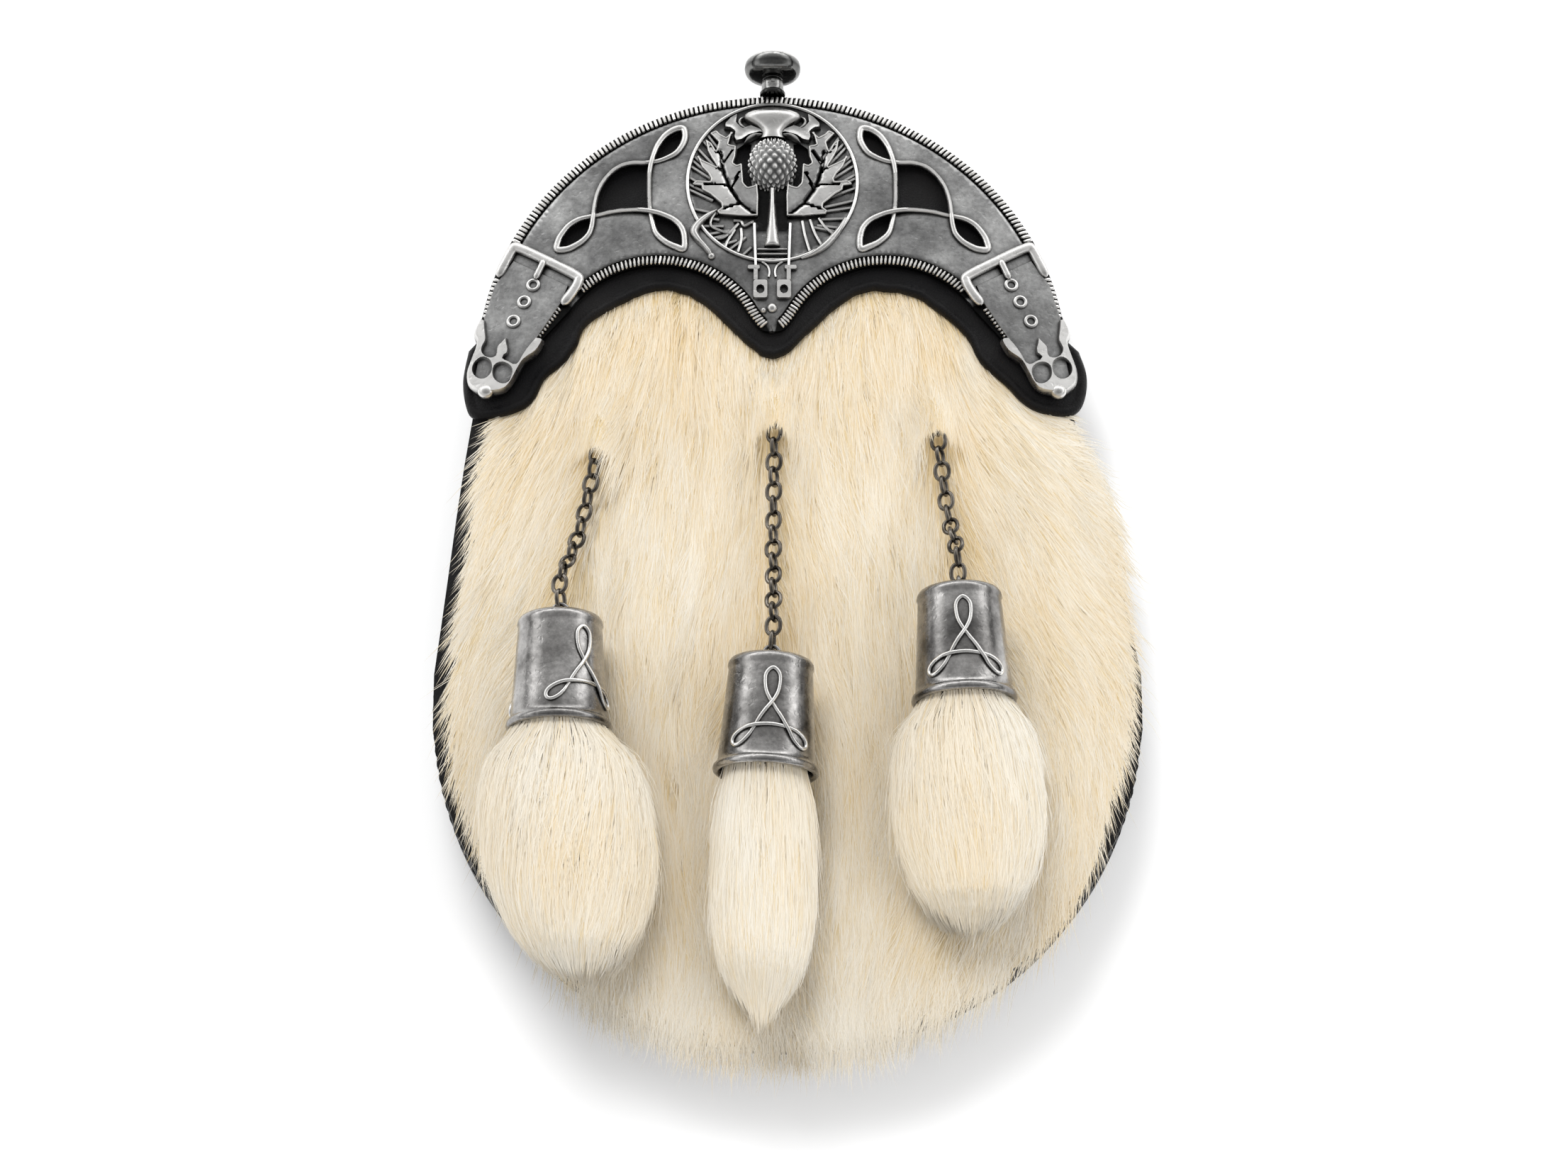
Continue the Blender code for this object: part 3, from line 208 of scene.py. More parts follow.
def outline(grow=0.0, count=240):
    """The pouch's outline, anticlockwise, starting at its top."""
    quarter = np.linspace(math.pi / 2, 0, 60, endpoint=False)
    top = np.column_stack([np.cos(quarter) * (ARC_R + grow), ARC_Y + np.sin(quarter) * (ARC_R + grow)])
    y = np.linspace(ARC_Y, WIDE_Y, 40, endpoint=False)
    share = (y - WIDE_Y) / (ARC_Y - WIDE_Y)
    side = np.column_stack([WIDE_HALF + grow - (WIDE_HALF - ARC_R) * share ** SIDE_POWER, y])
    turn = np.linspace(0, math.pi / 2, 120)
    foot = np.column_stack([
        (WIDE_HALF + grow) * np.cos(turn).clip(0) ** (2 / FOOT_POWER),
        WIDE_Y - (WIDE_Y - FOOT_Y + grow) * np.sin(turn) ** (2 / FOOT_POWER),
    ])
    right = np.vstack([top, side, foot])
    loop = np.vstack([right, right[-2:0:-1] * (-1, 1)])
    loop[:, 0] += lean(loop[:, 1])
    return resample(loop, count=count, closed=True)[::-1]


def polar_table():
    """Angles and radii of the outline, seen from the dome's summit."""
    edge = outline(0.0, 1440)
    angle = np.arctan2(edge[:, 1] - DOME_Y, edge[:, 0])
    order = np.argsort(angle)
    return angle[order], np.hypot(edge[:, 0], edge[:, 1] - DOME_Y)[order]


EDGE_ANGLES, EDGE_RADII = polar_table()


def edge_share(x, y):
    """0 at the dome's summit, 1 on the outline."""
    angle = np.arctan2(y - DOME_Y, x)
    radius = np.interp(angle, EDGE_ANGLES, EDGE_RADII, period=2 * math.pi)
    return np.hypot(x, y - DOME_Y) / radius


def edge_z(y):
    """Height of the front's edge, lowest at the top of the pouch."""
    share = (ARC_Y + ARC_R - y) / (ARC_Y + ARC_R - FOOT_Y)
    return EDGE_TOP_Z + (EDGE_FOOT_Z - EDGE_TOP_Z) * np.clip(share, 0, 1)


def front(x, y):
    """Inner face of the front wall."""
    return edge_z(y) + DOME * (1.0 - edge_share(x, y) ** DOME_POWER)


def front_at(places, rise=0.0):
    """Height above the front's inner face."""
    return front(places[..., 0], places[..., 1]) + rise


def inwards(places):
    """About how far places lie inside the outline, below zero outside it."""
    return (1.0 - edge_share(places[:, 0], places[:, 1])) * FROM_SUMMIT


# Lower edge of the leather apron, from the left lobe to the right one
APRON = np.array([
    (-77.6, 50.0), (-78.8, 42.0), (-77.8, 34.6), (-75.6, 31.2), (-70.2, 31.0), (-64.9, 32.0), (-60.6, 34.6),
    (-57.6, 40.6), (-52.8, 44.8), (-49.8, 49.1), (-48.3, 53.8), (-44.8, 57.2), (-38.6, 60.9), (-31.2, 64.2),
    (-26.0, 64.5), (-21.2, 62.9), (-15.7, 58.8), (-10.3, 53.0), (-5.2, 47.8), (-1.6, 45.2), (0.8, 44.9),
    (4.6, 47.1), (10.6, 53.6), (17.2, 60.0), (22.0, 63.4), (27.2, 64.5), (36.0, 63.0), (41.7, 59.3),
    (46.0, 55.6), (49.7, 51.5), (53.0, 44.6), (59.6, 38.6), (62.6, 35.2), (66.6, 32.6), (72.0, 31.6),
    (77.0, 32.6), (79.6, 37.0), (80.2, 43.6), (78.4, 50.0),
])
APRON_EDGE = curve(APRON, 6)
APRON_LOW = APRON_EDGE[(APRON_EDGE[:, 1] < 66) & (np.abs(APRON_EDGE[:, 0]) < 77)]


def apron_y(x):
    """Height of the apron's lower edge at a place across."""
    order = np.argsort(APRON_LOW[:, 0])
    return np.interp(x, APRON_LOW[order, 0], APRON_LOW[order, 1])


def fur_pile(x, y):
    """Height of the hair above the hide."""
    below = apron_y(x) - 0.8 - y
    side = (1.0 - np.minimum(edge_share(x, y), 1.0)) * 100.0
    full = PILE * smooth_step(below / 9.0) * (0.45 + 0.55 * smooth_step(side / 16.0))
    places = np.column_stack([np.ravel(x), np.ravel(y)])
    for row in TASSELS.values():
        near = distance(places, [row.cone, row.end], False).reshape(np.shape(x))
        full = full - BED_DEPTH * bell(near, BED_HALF) * np.minimum(full / PILE, 1.0)
    return np.where(below > 0, np.maximum(full, 0.8), 0.0)


def fur_ceiling(x, y):
    """A height that the solid coat's locks don't pass."""
    x, y = np.atleast_1d(x), np.atleast_1d(y)
    return front(x, y) + HIDE_TOP + fur_pile(x, y) + LOCK_RISE


# ---------------------------------------------------------------- meshes


class Mesh:
    """Collects vertices in millimetres, faces of any width and a tone for each vertex."""

    def __init__(self):
        self.verts, self.faces, self.tones, self.normals, self.count = [], [], [], [], 0

    def add(self, verts, blocks, tone=0.5, normals=None):
        verts = np.asarray(verts, float).reshape(-1, 3)
        for block in blocks:
            if len(block):
                self.faces.append(np.asarray(block, np.int64) + self.count)
        self.verts.append(verts)
        self.tones.append(np.broadcast_to(np.asarray(tone, float), (len(verts),)))
        if normals is not None:
            self.normals.append(normals.reshape(-1, 3))
        self.count += len(verts)

    def make(self, name, material, replaces=(), sharp=None, shadow=True):
        """Makes the piece and ties it to the part; edges above an angle in degrees stay sharp."""
        verts = (np.concatenate(self.verts) - (MIDDLE_X, 0.0, 0.0)) * MM
        loops = np.concatenate([f.ravel() for f in self.faces])
        sizes = np.concatenate([np.full(len(f), f.shape[1]) for f in self.faces])
        starts = np.concatenate([[0], np.cumsum(sizes)[:-1]])
        mesh = bpy.data.meshes.new(name)
        mesh.vertices.add(len(verts))
        mesh.vertices.foreach_set("co", verts.ravel())
        mesh.loops.add(len(loops))
        mesh.loops.foreach_set("vertex_index", loops.astype(np.int32))
        mesh.polygons.add(len(sizes))
        mesh.polygons.foreach_set("loop_start", starts.astype(np.int32))
        mesh.update(calc_edges=True)
        mesh.validate()
        mesh.shade_smooth()
        if sharp is not None:
            mesh.set_sharp_from_angle(angle=math.radians(sharp))
        if self.normals:
            mesh.normals_split_custom_set_from_vertices(np.concatenate(self.normals).tolist())
        tone = mesh.attributes.new("tone", "FLOAT", "POINT")
        tone.data.foreach_set("value", np.concatenate(self.tones).astype(np.float32))
        mesh.materials.append(material)
        piece = bpy.data.objects.new(name, mesh)
        piece.visible_shadow = shadow
        bpy.context.scene.collection.objects.link(piece)
        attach(piece, "root")
        if replaces:
            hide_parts(*replaces)


def ring_faces(rows, sides, closed_rows=False, closed_sides=True):
    """Quads between rows of points."""
    row = np.arange(rows if closed_rows else rows - 1)
    side = np.arange(sides if closed_sides else sides - 1)
    a = row[:, None] * sides + side[None, :]
    b = row[:, None] * sides + (side[None, :] + 1) % sides
    below = ((row + 1) % rows)[:, None] * sides
    c = below + (side[None, :] + 1) % sides
    d = below + side[None, :]
    return np.stack([a, b, c, d], -1).reshape(-1, 4)


def capped(rows, sides, flipped=False):
    """Faces of a tube with closed ends."""
    last = (rows - 1) * sides
    blocks = [ring_faces(rows, sides), np.arange(sides)[::-1][None], np.arange(last, last + sides)[None]]
    return [block[:, ::-1] for block in blocks] if flipped else blocks


def tube(mesh, path, half, high, sides=8, closed=False, up=UP, tone=0.5):
    """A wire with an oval section along a path."""
    path = np.asarray(path, float)
    ahead = np.roll(path, -1, 0) if closed else np.vstack([path[1:], path[-1:]])
    behind = np.roll(path, 1, 0) if closed else np.vstack([path[:1], path[:-1]])
    along = unit(ahead - behind)
    side = unit(np.cross(along, np.broadcast_to(up, path.shape)))
    top = np.cross(side, along)
    turn = full_turn(sides)
    half = np.broadcast_to(half, (len(path),))[:, None, None]
    high = np.broadcast_to(high, (len(path),))[:, None, None]
    verts = (
        path[:, None]
        + side[:, None] * np.cos(turn)[None, :, None] * half
        + top[:, None] * np.sin(turn)[None, :, None] * high
    )
    if closed:
        mesh.add(verts, [ring_faces(len(path), sides, True)[:, ::-1]], tone)
    else:
        mesh.add(verts, capped(len(path), sides, True), tone)


def round_ends(count, run=3):
    """Radius shares that close a wire's ends in a dome."""
    shares = np.ones(count)
    for k in range(run):
        shares[k] = shares[count - 1 - k] = math.sqrt(1 - (1 - (k + 0.15) / run) ** 2)
    return shares


def axes_for(axis):
    """A level direction and an upward one, at right angles to an axis and to each other."""
    side = np.cross(axis, UP)
    side = unit(side) if np.linalg.norm(side) > 1e-6 else np.array((1.0, 0.0, 0.0))
    return side, unit(np.cross(side, axis))


def lathe(mesh, profile, base, axis, sides, tone):
    """A turned shape: rows of a radius and a distance along the axis."""
    side, face = axes_for(np.asarray(axis, float))
    turn = full_turn(sides)
    out = np.cos(turn)[:, None] * side + np.sin(turn)[:, None] * face
    profile = np.asarray(profile, float)
    verts = np.asarray(base, float) + profile[:, 1][:, None, None] * axis + profile[:, 0][:, None, None] * out
    mesh.add(verts, capped(len(profile), sides, True), tone)


def ball(mesh, centre, radii, tone=0.8):
    """A round stud, flattened as its three radii say."""
    rows, sides = 9, 16
    level = (np.linspace(-1, 1, rows) * math.pi / 2 * 0.96)[:, None]
    turn = full_turn(sides)
    verts = np.stack([
        np.cos(level) * np.cos(turn) * radii[0],
        np.cos(level) * np.sin(turn) * radii[1],
        np.broadcast_to(np.sin(level) * radii[2], (rows, sides)),
    ], -1) + centre
    mesh.add(verts, capped(rows, sides), tone)


def lattice(loops, pitch, margin):
    """Staggered points inside the first loop and outside the others."""
    low, high = np.min(loops[0], 0), np.max(loops[0], 0)
    rows = np.arange(low[1], high[1], pitch * 0.87)
    points = []
    for k, y in enumerate(rows):
        x = np.arange(low[0] + (k % 2) * pitch / 2, high[0], pitch)
        points.append(np.column_stack([x, np.full(len(x), y)]))
    points = np.vstack(points)
    keep = inside(points, loops[0])
    for loop in loops[1:]:
        keep &= ~inside(points, loop)
    points = points[keep]
    for loop in loops:
        points = points[distance(points, loop) > margin]
    return points


def fill(loops, lines, points):
    """Triangles inside the first loop and outside the others, through all the lines."""
    coords, edges = [], []
    for line, closed in [(loop, True) for loop in loops] + list(lines):
        first = len(coords)
        coords += [Vector(p) for p in np.asarray(line, float)]
        count = len(line)
        edges += [(first + k, first + (k + 1) % count) for k in range(count if closed else count - 1)]
    coords += [Vector(p) for p in points]
    found = delaunay_2d_cdt(coords, edges, [], 0, 1e-4)
    places = np.array([tuple(v) for v in found[0]])
    faces = np.array(found[2])
    middle = places[faces].mean(1)
    keep = inside(middle, loops[0])
    for loop in loops[1:]:
        keep &= ~inside(middle, loop)
    return places, faces[keep]


def border(faces):
    """Directed edges that only one face has."""
    edges = np.vstack([faces[:, [0, 1]], faces[:, [1, 2]], faces[:, [2, 0]]])
    known = set(map(tuple, edges))
    return np.array([e for e in map(tuple, edges) if (e[1], e[0]) not in known])


def sheet(mesh, loops, upper, lower, lines, pitch, margin, tone=0.5):
    """A closed sheet; the upper face's height is a function of the places and their depth from the edge."""
    points = lattice(loops, pitch, margin)
    places, faces = fill(loops, lines, points)
    depth = np.min([distance(places, loop) for loop in loops], 0)
    top = np.column_stack([places, upper(places, depth)])
    low = np.column_stack([places, lower(places)])
    count = len(places)
    edge = border(faces)
    walls = np.column_stack([edge[:, 1], edge[:, 0], edge[:, 0] + count, edge[:, 1] + count])
    tones = tone(places, depth) if callable(tone) else np.full(count, tone)
    mesh.add(np.vstack([top, low]), [faces, faces[:, ::-1] + count, walls], np.concatenate([tones, tones]))


def rounded(depth, radius):
    """How far a rounded edge lies below its top, at a depth from the edge."""
    inner = np.clip(1 - depth / radius, 0, 1)
    return radius * (1 - np.sqrt(1 - inner ** 2))


# ---------------------------------------------------------------- materials


def shader_tree(name, roughness, metallic=0.0):
    """A new material with its node tree and its shader."""
    material = bpy.data.materials.new(name)
    material.use_nodes = True
    shader = material.node_tree.nodes["Principled BSDF"]
    shader.inputs["Roughness"].default_value = roughness
    shader.inputs["Metallic"].default_value = metallic
    return material, material.node_tree, shader


def node(tree, kind, **values):
    """A new node; each value goes to the socket of that name, or else to the property."""
    made = tree.nodes.new(kind)
    for key, value in values.items():
        if key in made.inputs:
            made.inputs[key].default_value = value
        else:
            setattr(made, key, value)
    return made


def noise(tree, scale, detail=3.0, rough=0.5, stretch=None):
    """Noise in the object's own space, scale in cells per metre."""
    place = node(tree, "ShaderNodeTexCoord").outputs["Object"]
    if stretch:
        squeeze = node(tree, "ShaderNodeMapping")
        squeeze.inputs["Scale"].default_value = stretch
        tree.links.new(place, squeeze.inputs["Vector"])
        place = squeeze.outputs["Vector"]
    made = node(tree, "ShaderNodeTexNoise", Scale=scale, Detail=detail, Roughness=rough)
    tree.links.new(place, made.inputs["Vector"])
    return made.outputs["Fac"]


def ramp(tree, source, stops):
    """Colours or greys that a value is turned into, as stops of a place and a colour."""
    made = node(tree, "ShaderNodeValToRGB")
    bar = made.color_ramp
    while len(bar.elements) < len(stops):
        bar.elements.new(0.5)
    for element, (place, colour) in zip(bar.elements, stops):
        element.position = place
        element.color = (*colour, 1.0) if isinstance(colour, tuple) else (colour, colour, colour, 1.0)
    tree.links.new(source, made.inputs["Fac"])
    return made.outputs["Color"]


def mix(tree, factor, first, second, kind="MIX"):
    """Two colours blended; each input is a socket or a constant."""
    made = node(tree, "ShaderNodeMix", data_type="RGBA", blend_type=kind)
    sockets = {s.identifier: s for s in made.inputs}
    for socket, value in (("Factor_Float", factor), ("A_Color", first), ("B_Color", second)):
        if isinstance(value, bpy.types.NodeSocket):
            tree.links.new(value, sockets[socket])
        elif socket == "Factor_Float":
            sockets[socket].default_value = value
        else:
            sockets[socket].default_value = (*value, 1.0)
    return {s.identifier: s for s in made.outputs}["Result_Color"]


def tone_of(tree):
    """The tone that the mesh stores at each vertex."""
    return node(tree, "ShaderNodeAttribute", attribute_name="tone").outputs["Fac"]


def bumped(tree, shader, source, strength, depth, normal=None):
    """Bump with its depth in millimetres, on top of another bump's normal where one is given."""
    made = node(tree, "ShaderNodeBump", Strength=strength, Distance=depth * MM)
    tree.links.new(source, made.inputs["Height"])
    if normal is not None:
        tree.links.new(normal, made.inputs["Normal"])
    tree.links.new(made.outputs["Normal"], shader.inputs["Normal"])
    return made.outputs["Normal"]


def crevice(tree, reach):
    """1 on open places, towards 0 in corners: ambient occlusion, used to paint shade into the colour."""
    return node(tree, "ShaderNodeAmbientOcclusion", samples=6, Distance=reach * MM).outputs["AO"]


def leather_material():
    """Grain in small cells, soft creases and uneven gloss."""
    material, tree, shader = shader_tree("black_leather_grain", 0.42)
    colour = ramp(tree, noise(tree, 60.0), ((0.3, (0.003, 0.003, 0.0035)), (0.7, (0.009, 0.0085, 0.0085))))
    tree.links.new(colour, shader.inputs["Base Color"])
    tree.links.new(ramp(tree, noise(tree, 240.0), ((0.3, 0.40), (0.75, 0.66))), shader.inputs["Roughness"])
    cells = node(tree, "ShaderNodeTexVoronoi", Scale=1150.0, feature="DISTANCE_TO_EDGE")
    tree.links.new(node(tree, "ShaderNodeTexCoord").outputs["Object"], cells.inputs["Vector"])
    grain = bumped(tree, shader, ramp(tree, cells.outputs["Distance"], ((0.0, 0.0), (0.18, 1.0))), 0.45, 0.12)
    bumped(tree, shader, noise(tree, 90.0, 4.0), 0.35, 0.5, grain)
    shader.inputs["Specular IOR Level"].default_value = 0.16
    return material


def pewter_material(name, dark, light, shine, reach):
    """Cast metal: mottled, pitted, with painted shade in its corners from ambient occlusion, and polished
    where its tone is high.
    """
    material, tree, shader = shader_tree(name, shine, 1.0)
    mottle = ramp(tree, noise(tree, 95.0, 5.0, 0.62), ((0.32, dark), (0.68, light)))
    fine = ramp(tree, noise(tree, 900.0, 3.0, 0.7), ((0.3, 0.72), (0.7, 1.12)))
    smudges = ramp(tree, noise(tree, 26.0, 4.0, 0.6, (1.0, 1.7, 1.0)), ((0.36, 0.66), (0.56, 1.16)))
    colour = mix(tree, 1.0, mix(tree, 1.0, mottle, fine, "MULTIPLY"), smudges, "MULTIPLY")
    high = ramp(tree, tone_of(tree), ((0.52, 0.0), (0.95, 1.0)))
    colour = mix(tree, high, colour, (0.82, 0.81, 0.79))
    low = ramp(tree, tone_of(tree), ((0.05, 0.05), (0.45, 1.0)))
    colour = mix(tree, 1.0, colour, low, "MULTIPLY")
    # painted shade: the colour is darkened where ambient occlusion is low, less so on the high tones
    corner = ramp(tree, crevice(tree, reach), ((0.38, (0.02, 0.02, 0.02)), (0.9, (1.0, 1.0, 1.0))))
    share = ramp(tree, tone_of(tree), ((0.6, 1.0), (0.95, 0.25)))
    colour = mix(tree, share, colour, mix(tree, 1.0, colour, corner, "MULTIPLY"))
    tree.links.new(colour, shader.inputs["Base Color"])
    gloss = ramp(tree, noise(tree, 420.0, 3.0), ((0.3, shine - 0.08), (0.7, shine + 0.12)))
    tree.links.new(gloss, shader.inputs["Roughness"])
    pits = ramp(tree, noise(tree, 640.0, 2.0, 0.4), ((0.30, 0.0), (0.40, 1.0)))
    pitted = bumped(tree, shader, pits, 0.3, 0.08)
    bumped(tree, shader, noise(tree, 210.0, 4.0, 0.6), 0.25, 0.3, pitted)
    return material


def gunmetal_material():
    """Dark polished metal with brown and grey patches."""
    material, tree, shader = shader_tree("dark_gunmetal", 0.17, 1.0)
    colour = ramp(tree, noise(tree, 300.0, 3.0), ((0.3, (0.05, 0.044, 0.038)), (0.7, (0.21, 0.19, 0.165))))
    tree.links.new(colour, shader.inputs["Base Color"])
    bumped(tree, shader, noise(tree, 500.0), 0.12, 0.1)
    return material


def fur_material(name, roughness):
    """Cream hair from yellow-brown at a tone of 0 to near white, with warmer patches."""
    material, tree, shader = shader_tree(name, roughness)
    colour = ramp(tree, tone_of(tree), (
        (0.0, (0.36, 0.255, 0.12)), (0.3, (0.62, 0.505, 0.30)),
        (0.55, (0.66, 0.58, 0.44)), (0.9, (0.685, 0.645, 0.565)),
    ))
    warmer = noise(tree, 30.0, 3.0, 0.5, (1.0, 0.4, 1.0))
    patches = ramp(tree, warmer, ((0.3, (0.97, 0.92, 0.83)), (0.62, (1.0, 1.0, 1.0))))
    colour = mix(tree, 1.0, colour, patches, "MULTIPLY")
    tree.links.new(colour, shader.inputs["Base Color"])
    shader.inputs["Specular IOR Level"].default_value = 0.35
    shader.inputs["Sheen Weight"].default_value = 0.15
    return material


LEATHER_SKIN = leather_material()
PEWTER = pewter_material("antique_pewter", (0.19, 0.19, 0.19), (0.40, 0.40, 0.395), 0.30, 1.8)
CONE_PEWTER = pewter_material("cone_pewter", (0.16, 0.155, 0.15), (0.44, 0.43, 0.42), 0.22, 1.2)
GUNMETAL = gunmetal_material()
KNOB_METAL = pewter_material("polished_gunmetal", (0.25, 0.25, 0.247), (0.36, 0.36, 0.35), 0.13, 1.0)
COAT_HAIR = fur_material("cream_hair", 0.46)
UNDERCOAT = fur_material("cream_undercoat", 0.9)


# ---------------------------------------------------------------- leather body


GUSSET_SECTION = (  # growth of the outline, share of the wall's height, distance added
    (-1.5, 0.0, 0.0), (-1.0, 0.0, 0.15), (-0.75, 0.0, 0.7), (-0.4, 0.25, 0.0), (0.1, 0.5, 0.0),
    (0.0, 0.75, 0.0), (-0.35, 1.0, -1.0), (-0.6, 1.0, -0.35), (-1.1, 1.0, 0.0), (-1.9, 1.0, 0.0),
    (-2.3, 1.0, -0.35), (-2.4, 1.0, -1.0), (-2.1, 0.5, 0.0), (-2.7, 0.0, 0.8), (-2.5, 0.0, 0.15),
    (-2.1, 0.0, 0.0),
)


def make_gusset():
    """The side wall, with rounded rims, a slight belly and a seam below its upper rim."""
    mesh = Mesh()
    height = edge_z(outline()[:, 1]) - SLIT
    rings = [np.column_stack([outline(grow), height * share + more]) for grow, share, more in GUSSET_SECTION]
    mesh.add(np.stack(rings), [ring_faces(len(rings), len(height), True)])
    seam = resample(np.column_stack([outline(-0.1), height - 4.2]), pitch=STITCH_PITCH, closed=True)
    stitches(mesh, seam, length=2.4, radius=0.32, closed=True)
    mesh.make("gusset_leather", LEATHER_SKIN, ("gusset",))


def stitches(mesh, line, length, radius, closed):
    """Thread pieces along a line."""
    count = len(line)
    for k in range(count if closed else count - 1):
        start, end = line[k], line[(k + 1) % count]
        span = end - start
        share = length / max(np.linalg.norm(span), 1e-6)
        path = [start + span * (0.5 - share / 2), start + span * 0.5, start + span * (0.5 + share / 2)]
        taper = radius * np.array((0.5, 1.0, 0.5))
        tube(mesh, path, taper, taper, sides=6)


def rounded_loop(half, low, high, low_radius, high_radius, centre_x=0.0):
    """A rectangle with round corners, anticlockwise."""
    loop = []
    for x, y, radius, start in (
        (half, low, low_radius, -90), (half, high, high_radius, 0),
        (-half, high, high_radius, 90), (-half, low, low_radius, 180),
    ):
        middle_x = x - math.copysign(radius, x)
        middle_y = y + (radius if y == low else -radius)
        for k in range(9):
            angle = math.radians(start + 90 * k / 8)
            loop.append((centre_x + middle_x + radius * math.cos(angle), middle_y + radius * math.sin(angle)))
    return np.array(loop)


def back_sheet(name, loops, low, high, node_name, sewn=None):
    """A leather sheet whose seen face looks down: it is made upside down and then turned over."""
    def upper(places, depth):
        return -(low + rounded(depth, 0.9))

    def lower(places):
        return np.full(len(places), -high)

    mesh = Mesh()
    lines = []
    for amount in (0.5, 1.0):
        lines += [(offset(loop, -amount if k else amount), True) for k, loop in enumerate(loops)]
    sheet(mesh, loops, upper, lower, lines, pitch=7.0, margin=2.0)
    mesh.verts[-1][:, 2] *= -1
    mesh.faces[-3:] = [f[:, ::-1] for f in mesh.faces[-3:]]
    if sewn:
        line = np.column_stack([sewn, np.full(len(sewn), low - 0.05)])
        stitches(mesh, resample(line, pitch=STITCH_PITCH), length=2.5, radius=0.3, closed=False)
    mesh.make(name, LEATHER_SKIN, (node_name,))


def make_back():
    """The back with its mouth, the flap sewn above it and the flap's stud."""
    mouth = rounded_loop(half=36.0, low=58.0, high=92.0, low_radius=8.0, high_radius=17.0)
    back_sheet("back_leather", [outline(-3.1, 200), mouth], RECESS, RECESS + LEATHER, "back_panel")
    flap = rounded_loop(half=46.0, low=28.0, high=104.0, low_radius=30.0, high_radius=14.0)
    top = RECESS - SLIT
    sewn = [(-41.0, 84.0), (-41.0, 99.0), (41.0, 99.0), (41.0, 84.0)]
    back_sheet("flap_leather", [flap], top - LEATHER, top, "back_flap", sewn)
    mesh = Mesh()
    stud_top = RECESS - LEATHER - 2 * SLIT
    stud_y = 42.0
    profile = ((6.0, 0.0), (6.0, -0.5), (5.6, -0.95), (4.6, -1.3), (3.0, -1.5), (0.6, -1.55))
    lathe(mesh, profile, (0, stud_y, stud_top), UP, sides=48, tone=0.6)
    mesh.make("press_stud", KNOB_METAL, ("flap_stud",))


def make_belt_loop(side, x):
    """A leather strip with rounded edges, sewn down at both ends."""
    top = RECESS - SLIT
    low, high, foot, thick, half = -36.0, 14.0, 8.0, 1.8, 10.0
    outer = np.array([  # y and z round the strip's profile
        (low, top), (low, 1.2), (low + 0.35, 0.35), (low + 1.2, 0.0), (high - 1.2, 0.0), (high - 0.35, 0.35),
        (high, 1.2), (high, top), (high - foot, top), (high - foot, thick + 0.6),
        (high - foot - 0.6, thick), (low + foot + 0.6, thick), (low + foot, thick + 0.6), (low + foot, top),
    ])
    mesh = Mesh()
    from_middle = outer[:, 0] - (low + high) / 2
    at_ends = -np.sign(from_middle) * (np.abs(from_middle) > 20)
    rows = []
    for across, inward in ((-half, 0.7), (-half + 0.25, 0.25), (-half + 0.9, 0.0),
                           (half - 0.9, 0.0), (half - 0.25, 0.25), (half, 0.7)):
        shrunk = outer.copy()
        shrunk[:, 0] += inward * at_ends
        shrunk[:, 1] += inward * (outer[:, 1] < 1.3)
        shrunk[:, 1] = np.where(np.abs(outer[:, 1] - thick) < 0.1, thick - inward * 0.3, shrunk[:, 1])
        rows.append(np.column_stack([np.full(len(outer), x + across), shrunk]))
    mesh.add(np.stack(rows), capped(len(rows), len(outer)))
    for y in (low + 4.0, high - 4.0):
        line = np.array([(x - 7.0, y, -0.02), (x + 7.0, y, -0.02)])
        stitches(mesh, resample(line, pitch=3.5), length=2.4, radius=0.22, closed=False)
    mesh.make(f"belt_loop_leather_{side}", LEATHER_SKIN, (f"belt_loop_{side}",), sharp=50)


def make_apron():
    """The leather under the cantle, with a rolled cut edge and a ridge beside it."""
    wavy = resample(APRON_EDGE, pitch=1.0)
    wave = np.cumsum(rng.normal(0, 1, len(wavy)))
    wave -= np.convolve(wave, np.ones(9) / 9, "same")  # the slow part taken out
    wavy[:, 1] += np.clip(wave * 0.12, -0.35, 0.35) * smooth_step((66 - np.abs(wavy[:, 0])) / 20)
    loop = np.vstack([wavy, arc(0.0, ARC_Y, TRIM_R, 6, 174, 90)])
    lines = [(offset(wavy, d, False), False) for d in (0.35, 0.8, 1.4, 2.1, 3.0)]

    def upper(places, depth):
        rise = TRIM_TOP - rounded(depth, 0.9)
        rise += 0.4 * bell(depth - 1.2, 0.5) - 0.35 * bell(depth - 2.4, 0.6)
        rise += 0.12 * np.sin(places[:, 0] * 0.55) * np.sin(places[:, 1] * 0.4)
        return front_at(places, rise)

    mesh = Mesh()
    sheet(mesh, [loop], upper, lambda p: front_at(p, TRIM_LOW), lines, pitch=2.2, margin=0.9)
    mesh.make("apron_leather", LEATHER_SKIN, ("cantle_trim",))


# ---------------------------------------------------------------- cantle

